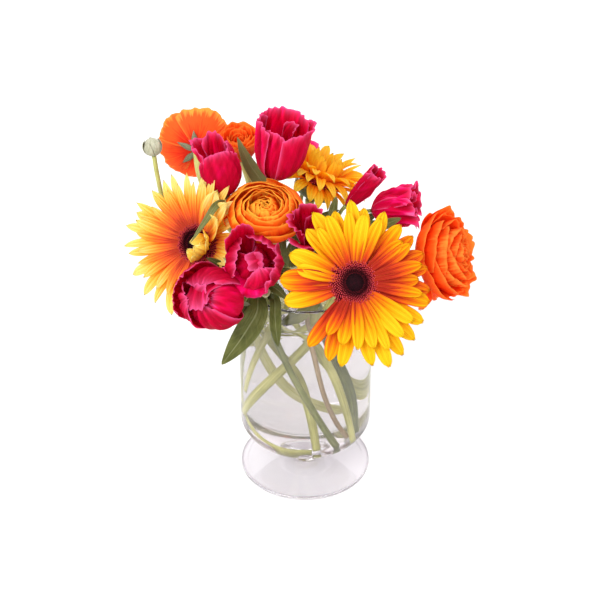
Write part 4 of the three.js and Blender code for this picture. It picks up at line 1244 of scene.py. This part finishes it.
def buds(finishes):
    """The ranunculus bud with its folded sepals, and the two godetia buds.

    The round bud's radius is a power of a sine over half a turn and its height a cosine; the
    long ones' radius is a power of a sine of a power of the way up. Each has soft ribs.
    """
    rng = np.random.default_rng(2)
    head = Head("ranunculus_bud", "ranunculus_bud_stem")
    t = np.linspace(0.02, 0.985, 22)
    ball = np.stack([6.2 * np.sin(np.pi * t) ** 0.85, 12.4 * (1 - np.cos(np.pi * t)) / 2], 1)
    grid, fold = cup_grid([20, 92, 164, 236, 308], 34, 6.7, 11.5, close=1.5, base=-0.2, fall=0.45,
                          spiral=0.03, folds=(2,), fold_sizes=(0.2,), phase=rng.uniform(0, 6, 5))
    bud = [rings_block(turned_body(ball, 40, head, 5, 0.10), 0.5),
           shells(head.place(grid), BRACT_THICK, 0.45, fold)]
    make_piece("ranunculus_green_bud", bud, finishes["bud"], "ranunculus_bud", "ranunculus_bud")
    for name, node, radius, length in (("godetia_large_bud", "godetia_bud", 3.8, 11.5),
                                       ("godetia_small_bud", "godetia_young_bud", 2.8, 9.5)):
        head = Head(node, "godetia_left_stem")
        shape = np.stack([radius * np.sin(np.pi * t ** 0.85) ** 0.8, length * t], 1)
        make_piece(name, [rings_block(turned_body(shape, 24, head, 4, 0.12), 0.5)], finishes["godetia_bud"],
                   "godetia_bud", node)


def sepal_cup(name, node, head, grid, thickness, collar, sides, finish):
    """Sepals as one piece with the turned collar that they grow from."""
    blocks = [shells(head.place(grid), thickness, 0.5), rings_block(turned_body(collar, sides, head), 0.5)]
    make_piece(name, blocks, finish, "sepal", node)


def sepals(finishes):
    """Pointed sepals under the ranunculus heads and turned back under two godetia blooms."""
    angle = np.arange(5) * 360 / 5 + 18 + [4, -6, 3, -2, 7]
    for flower, reach in (("middle", 14.0), ("right", 14.0), ("nodding", 15.5)):
        node = f"ranunculus_{flower}_sepals"
        head = Head(node, f"ranunculus_{flower}_stem")
        grid = ray_grid(angle, reach, 5.2, 8, [34, 22, 40, 18, 30], start=1.5, trough=0.5,
                        twist=[12, -14, 8, 16, -10], shoulder=0.25, point=1.1, ridge=0.2, notch=0.0, rows=14,
                        cols=9)
        sepal_cup(f"{flower}_ranunculus_sepals", node, head, grid, BRACT_THICK,
                  [(2.6, 0), (3.4, 1.2), (2.8, 2.4), (0.4, 2.8)], 20, finishes["sepal"])
    for bloom in ("tulip", "low"):
        head = Head(f"godetia_{bloom}_bloom", "godetia_left_stem")
        grid = ray_grid([20, 110, 200, 290], 12, 3.8, -50, -75, start=1.6, trough=0.5, level=-0.4,
                        shoulder=0.3, point=1.0, notch=0.0, rows=12, cols=7)
        sepal_cup(f"{bloom}_godetia_calyx", f"godetia_{bloom}_calyx", head, grid, CUP_THICK,
                  [(1.75, -3.0), (2.3, -1.2), (2.6, -0.3), (1.8, -0.25)], 16, finishes["sepal"])


# How many steps a leaf's middle line has.
LEAF_ROWS = 34


def leaf_line(node):
    """The middle line of a leaf's CAD node, through the means of slices of its corners lengthwise."""
    points = corners(node)
    centre, _, axes = main_axes(points)
    order = np.argsort((points - centre) @ axes[:, 2])
    groups = [order[:1], *np.array_split(order[1:-1], 7), order[-1:]]
    return smooth_line([points[g].mean(0) for g in groups], LEAF_ROWS)


def leaf_grid(line, width, curl, twist=0.0, cols=13):
    """A pointed leaf along its middle line.

    Half the width is a power of the sine of the way along, and the blade folds up from the midrib
    by `curl`, turns about the line by `twist` from foot to tip, and waves a little at its edges.
    """
    axis = np.gradient(line, axis=0)
    axis /= np.linalg.norm(axis, axis=1, keepdims=True)
    across = np.cross(axis, [0.05, -1, 0.4])
    across /= np.linalg.norm(across, axis=1, keepdims=True)
    face = np.cross(across, axis)
    v = np.linspace(0, 1, len(line))[:, None]
    turn = twist * (v - 0.4)
    across, face = across * np.cos(turn) + face * np.sin(turn), face * np.cos(turn) - across * np.sin(turn)
    half = width / 2 * (0.06 + 0.94 * np.sin(np.pi * v ** 0.9) ** 0.85)
    half[0] = half[-1] = 0.15
    u = np.linspace(-1, 1, cols)[None]
    wave = 0.06 * width * np.sin(11 * v + 2.6 * u) * u ** 2
    rise = curl * np.abs(u) ** 1.4 * half + wave * np.sin(np.pi * v)
    grid = line[:, None] + across[:, None] * (u * half)[..., None] * np.cos(curl)
    return (grid + face[:, None] * rise[..., None])[None]


# Each leaf's width in mm, how far its blade folds up and its line turns in radians, and its tone.
LEAVES = {
    "tall": (12, 0.35, 0.5, 0.78),
    "crossing": (5.4, 0.3, 0.3, 0.6),
    "hanging": (18, 0.32, 0.35, 0.46),
    "narrow": (9.5, 0.5, -0.9, 0.44),
    "dipping": (12, 0.3, 0.4, 0.68),
    "upright": (6.5, 0.4, 0.3, 0.6),
    "inner": (11, 0.3, 0.4, 0.42),
    "front": (9.5, 0.3, 0.4, 0.44),
    "right": (8.5, 0.3, 0.4, 0.5),
}
# Small leaves of the godetia sprays: points from foot to tip, and the width.
SMALL_LEAVES = [
    ([(-13, -30, 194), (-17, -33, 210), (-14, -34, 223)], 10),
    ([(-4, -32, 200), (-10, -35, 213), (-8, -33, 220)], 8),
    ([(-53, -44, 201), (-60, -47, 209), (-67, -48, 214)], 6),
    ([(-30, -38, 172), (-42, -44, 172), (-53, -47, 160)], 9),
    ([(-3, -20, 190), (-12, -28, 199), (-22, -36, 203)], 9),
    ([(-2, -22, 192), (-7, -30, 206), (-8, -38, 219)], 8),
    ([(-1, -28, 195), (8, -34, 205), (16, -38, 216)], 9),
    ([(-32, -36, 186), (-22, -42, 186), (-12, -46, 178)], 8),
    ([(-36, -40, 184), (-42, -47, 180), (-47, -50, 167)], 7),
    ([(-33, -34, 188), (-40, -30, 200), (-44, -28, 214)], 8),
    ([(-16, 6, 203), (-10, -2, 222), (-8, -4, 238)], 7),
    ([(0, 14, 182), (-12, 30, 190), (-26, 44, 198)], 10),
    ([(28, 20, 180), (38, 34, 188), (52, 44, 192)], 10),
    ([(28, 17, 186), (44, 22, 190), (60, 24, 186)], 9),
    ([(-3, 10, 186), (10, 24, 198), (24, 32, 202)], 9),
    ([(28, 15, 188), (20, -4, 196), (24, -20, 203)], 9),
    ([(-33, -35, 185), (-44, -22, 192), (-56, -12, 192)], 9),
    ([(29, 20, 176), (34, 2, 180), (44, -14, 182)], 9),
]


def leaves(finishes):
    """The nine leaves of the godetia sprays, and the small ones among the flowers."""
    rng = np.random.default_rng(41)
    for name, (width, curl, twist, tone) in LEAVES.items():
        grid = leaf_grid(leaf_line(f"leaf_{name}"), width, curl, twist)
        blade = [shells(grid, LEAF_THICK, tone)]
        make_piece(f"{name}_leaf", blade, finishes["leaf"], "leaf", f"leaf_{name}")
    tones = scatter(rng, 0.45, 0.1, len(SMALL_LEAVES))
    small = []
    for (points, width), tone in zip(SMALL_LEAVES, tones):
        grid = leaf_grid(smooth_line(points, 22), width, 0.35, rng.uniform(-0.6, 0.6), 9)
        small.append(shells(grid, LEAF_THICK, tone))
    make_piece("godetia_small_leaves", small, finishes["leaf"], "leaf")


# ------------------------------------------------------------------ vase and water

def bowl_profile(radius, depth, top):
    """A quarter ellipse from the axis out to the radius, then a straight side up to the top."""
    angle = np.linspace(0, np.pi / 2, 40)
    curve = np.stack([radius * np.sin(angle), BOWL_TOP - depth * np.cos(angle)], 1)
    side = np.stack([np.full(16, radius), np.linspace(BOWL_TOP, top, 17)[1:]], 1)
    return np.vstack([curve, side])


def vase_and_water(finishes):
    """The vase in one piece of glass, and the water in it with its edge drawn up at the wall.

    The vase's profile runs from under the foot round its half-round edge, up a slope that is a
    power of the way in, round the hollow half sine of the neck, up the bowl, over the half-round
    rim and down inside. The water's edge falls from the wall as an exponential.
    """
    _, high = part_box("vase")
    foot_radius, height = high.x / MM, high.z / MM
    outer = bowl_profile(VASE_RADIUS, BOWL_DEPTH, height - RIM_DROP)[6:]
    turn = np.linspace(0, np.pi, 9)[1:-1]
    rim = np.stack([VASE_RADIUS - WALL / 2 + WALL / 2 * np.cos(turn),
                    height - WALL / 2 + WALL / 2 * np.sin(turn)], 1)
    inner_radius = VASE_RADIUS - WALL
    inner_depth = BOWL_DEPTH - BOWL_FLOOR
    inner = bowl_profile(inner_radius, inner_depth, height - WALL / 2)[::-1]
    turn = np.linspace(0, np.pi, 12)
    neck = np.stack([NECK_RADIUS + 1 - NECK_HOLLOW * np.sin(turn),
                     NECK_LOW + (NECK_HIGH - NECK_LOW) * turn / np.pi], 1)
    turn = np.linspace(-np.pi / 2, np.pi / 2, 9)
    half = FOOT_EDGE / 2
    edge = np.stack([foot_radius - half + half * np.cos(turn), half + half * np.sin(turn)], 1)
    way = np.linspace(0, 1, 24)[1:-1]
    slope = np.stack([foot_radius - half + (NECK_RADIUS + 1 - foot_radius + half) * way,
                      FOOT_EDGE + (FOOT_RISE - FOOT_EDGE) * way ** 1.6 + 1.6 * way ** 14], 1)
    under = [(AXIS_GAP, 1.4), (20, 1.3), (foot_radius - 7, 1.0), (foot_radius - 5, 0.5),
             (foot_radius - 3.5, 0.08)]
    profile = np.vstack([under, edge, slope, neck, outer, rim, inner[:-1], [(AXIS_GAP, inner[-1, 1])]])
    glass = [rings_block(turned_body(profile, VASE_SIDES))]
    make_piece("glass_vase", glass, finishes["glass"], "glass", "vase")
    reach = inner_radius + WATER_OVERLAP
    line = bowl_profile(reach, inner_depth + WATER_OVERLAP, WATER_LEVEL + MENISCUS_HEIGHT)[1:]
    way = np.linspace(0, 1, 12)[1:]
    meniscus = np.stack([reach - MENISCUS_WIDTH * way, WATER_LEVEL + MENISCUS_HEIGHT * np.exp(-4 * way)], 1)
    flat = [(20, WATER_LEVEL), (AXIS_GAP, WATER_LEVEL)]
    body = np.vstack([[(AXIS_GAP, line[0, 1])], line, meniscus, flat])
    water = [rings_block(turned_body(body, VASE_SIDES))]
    make_piece("vase_water", water, finishes["water"], "water", "water")


# ------------------------------------------------------------------ room, light and camera

FLOOR_REACH = 6.0
FLOOR_GREY = (0.80, 0.80, 0.80)
SURROUND = 0.80
# Each lamp's place in m, power in W and width in m; all of them point to the middle of the vase.
LAMPS = {
    "key": ((-0.8, -1.5, 1.6), 44, 1.2),
    "fill": ((1.3, -1.2, 1.2), 12, 1.4),
    "back": ((0.3, 1.5, 1.4), 38, 3.2),
}
LAMP_AIM = (0, 0, 0.15)
CAMERA_PLACE = (-0.0039, -1.1759, 0.9588)
CAMERA_TILT = 55.35
CAMERA_LENS = 120
CAMERA_SENSOR = 36
# Light has to pass this many faces of glass and water before it is given up.
BOUNCES = {"transmission_bounces": 24, "transparent_max_bounces": 24, "glossy_bounces": 24, "max_bounces": 32}


def put(scene, name, data, place=(0, 0, 0), rotation=(0, 0, 0)):
    """A new object of the scene with its place, and its rotation in radians."""
    made = bpy.data.objects.new(name, data)
    made.location = place
    made.rotation_euler = rotation
    scene.collection.objects.link(made)
    return made


def room():
    """A plain pale floor, a white surround, soft lamps and the camera."""
    scene = bpy.context.scene
    scene.view_settings.view_transform = "Standard"
    for kind, number in BOUNCES.items():
        setattr(scene.cycles, kind, number)
    mesh = bpy.data.meshes.new("floor")
    square = [(x * FLOOR_REACH, y * FLOOR_REACH, 0) for x, y in ((-1, -1), (1, -1), (1, 1), (-1, 1))]
    mesh.from_pydata(square, [], [(0, 1, 2, 3)])
    ground = Finish("pale_floor", Base_Color=FLOOR_GREY, Roughness=0.9, Specular_IOR_Level=0.1)
    mesh.materials.append(ground.material)
    floor = put(scene, "floor", mesh)
    scene.world = bpy.data.worlds.new("studio")
    scene.world.use_nodes = True
    surround = scene.world.node_tree.nodes["Background"].inputs
    surround["Color"].default_value = (1, 1, 1, 1)
    surround["Strength"].default_value = SURROUND
    for name, (place, power, width) in LAMPS.items():
        lamp = bpy.data.lights.new(name, "AREA")
        lamp.energy = power
        lamp.size = width
        towards = Vector(LAMP_AIM) - Vector(place)
        put(scene, name, lamp, place, towards.to_track_quat("-Z", "Y").to_euler())
    lens = bpy.data.cameras.new("camera")
    lens.lens = CAMERA_LENS
    lens.sensor_width = CAMERA_SENSOR
    scene.camera = put(scene, "camera", lens, CAMERA_PLACE, (np.radians(CAMERA_TILT), 0, 0))


# ------------------------------------------------------------------ the bouquet

# The ray petals' material, its colours (foot, base, middle, tip and end from the disc out, and the
# under side), and what share of light goes through them where it differs from the usual one.
RAYS = {
    "front_ray": ("front_gerbera_petal", (0.44, 0.014, 0.015), (0.72, 0.055, 0.014), (0.82, 0.21, 0.005),
                  (0.93, 0.46, 0.004), (0.97, 0.65, 0.014), (0.88, 0.44, 0.01)),
    "left_ray": ("left_gerbera_petal", (0.66, 0.05, 0.035), (0.93, 0.15, 0.05), (0.96, 0.32, 0.04),
                 (1.0, 0.70, 0.10), (1.0, 0.95, 0.38), (1.0, 0.72, 0.05), 0.54),
    "back_ray": ("back_gerbera_petal", (0.80, 0.08, 0.01), (0.98, 0.22, 0.016), (1.0, 0.44, 0.018),
                 (1.0, 0.66, 0.03), (1.0, 0.86, 0.12), (1.0, 0.60, 0.04), 0.68),
}
# The ranunculus petals' material, and its colours: deep, body and rim.
RANUNCULUSES = {
    "ranunculus": ("ranunculus_petal", (0.84, 0.03, 0.010), (0.98, 0.15, 0.008), (1.0, 0.56, 0.06)),
    "ranunculus_red": ("red_ranunculus_petal", (0.84, 0.022, 0.010), (0.98, 0.13, 0.012), (1.0, 0.35, 0.05)),
    "ranunculus_thin": ("thin_ranunculus_petal", (0.82, 0.05, 0.02), (0.96, 0.17, 0.03), (0.99, 0.46, 0.08)),
}
# The greens: the material's name; deep, body and light; then the roughness, what share of light
# goes through, and the scale of the mottling, where they differ from the usual ones.
GREENS = {
    "bract": ("gerbera_bract", (0.10, 0.12, 0.04), (0.18, 0.21, 0.07), (0.32, 0.34, 0.16)),
    "pale_stem": ("pale_stem", (0.35, 0.355, 0.10), (0.59, 0.59, 0.195), (0.83, 0.825, 0.40), 0.42),
    "dark_stem": ("godetia_stem", (0.09, 0.11, 0.017), (0.185, 0.215, 0.05), (0.38, 0.405, 0.15), 0.45),
    "brown_stem": ("brown_stem", (0.22, 0.15, 0.08), (0.38, 0.28, 0.15), (0.54, 0.46, 0.28), 0.45),
    "sepal": ("sepal", (0.10, 0.10, 0.05), (0.18, 0.18, 0.10), (0.30, 0.29, 0.19), 0.6, 0.1),
    "bud": ("ranunculus_bud", (0.25, 0.25, 0.15), (0.40, 0.39, 0.28), (0.55, 0.52, 0.42), 0.6, 0.0, 220.0),
    "godetia_bud": ("godetia_bud", (0.30, 0.27, 0.14), (0.42, 0.39, 0.22), (0.56, 0.50, 0.34), 0.6),
}


def all_finishes():
    """Every material of the bouquet, by the name that the pieces use for it."""
    finishes = {}
    for maker, table in ((ray_finish, RAYS), (ranunculus_finish, RANUNCULUSES), (green_finish, GREENS)):
        for kind, numbers in table.items():
            finishes[kind] = maker(*numbers)
    finishes["floret"] = floret_finish("gerbera_florets")
    finishes["godetia"] = godetia_finish("godetia_petal")
    finishes["leaf"] = leaf_finish("godetia_leaf")
    # The glass's second colour is the foot's darker tint, a painted shade.
    finishes["glass"] = glass_finish("vase_glass", 1.46, 0.02, (0.865, 0.848, 0.858), (0.80, 0.785, 0.80))
    finishes["water"] = glass_finish("vase_water", 1.33, 0.0, (0.89, 0.875, 0.878))
    return finishes


def main():
    """Makes the finishes, then every piece of the bouquet and the vase, then the room round them."""
    finishes = all_finishes()
    for make in (front_gerbera, left_gerbera, back_gerbera, ranunculus_middle, ranunculus_right,
                 ranunculus_nodding, ranunculus_small, godetias, stems, buds, sepals, leaves, vase_and_water):
        make(finishes)
    room()


main()
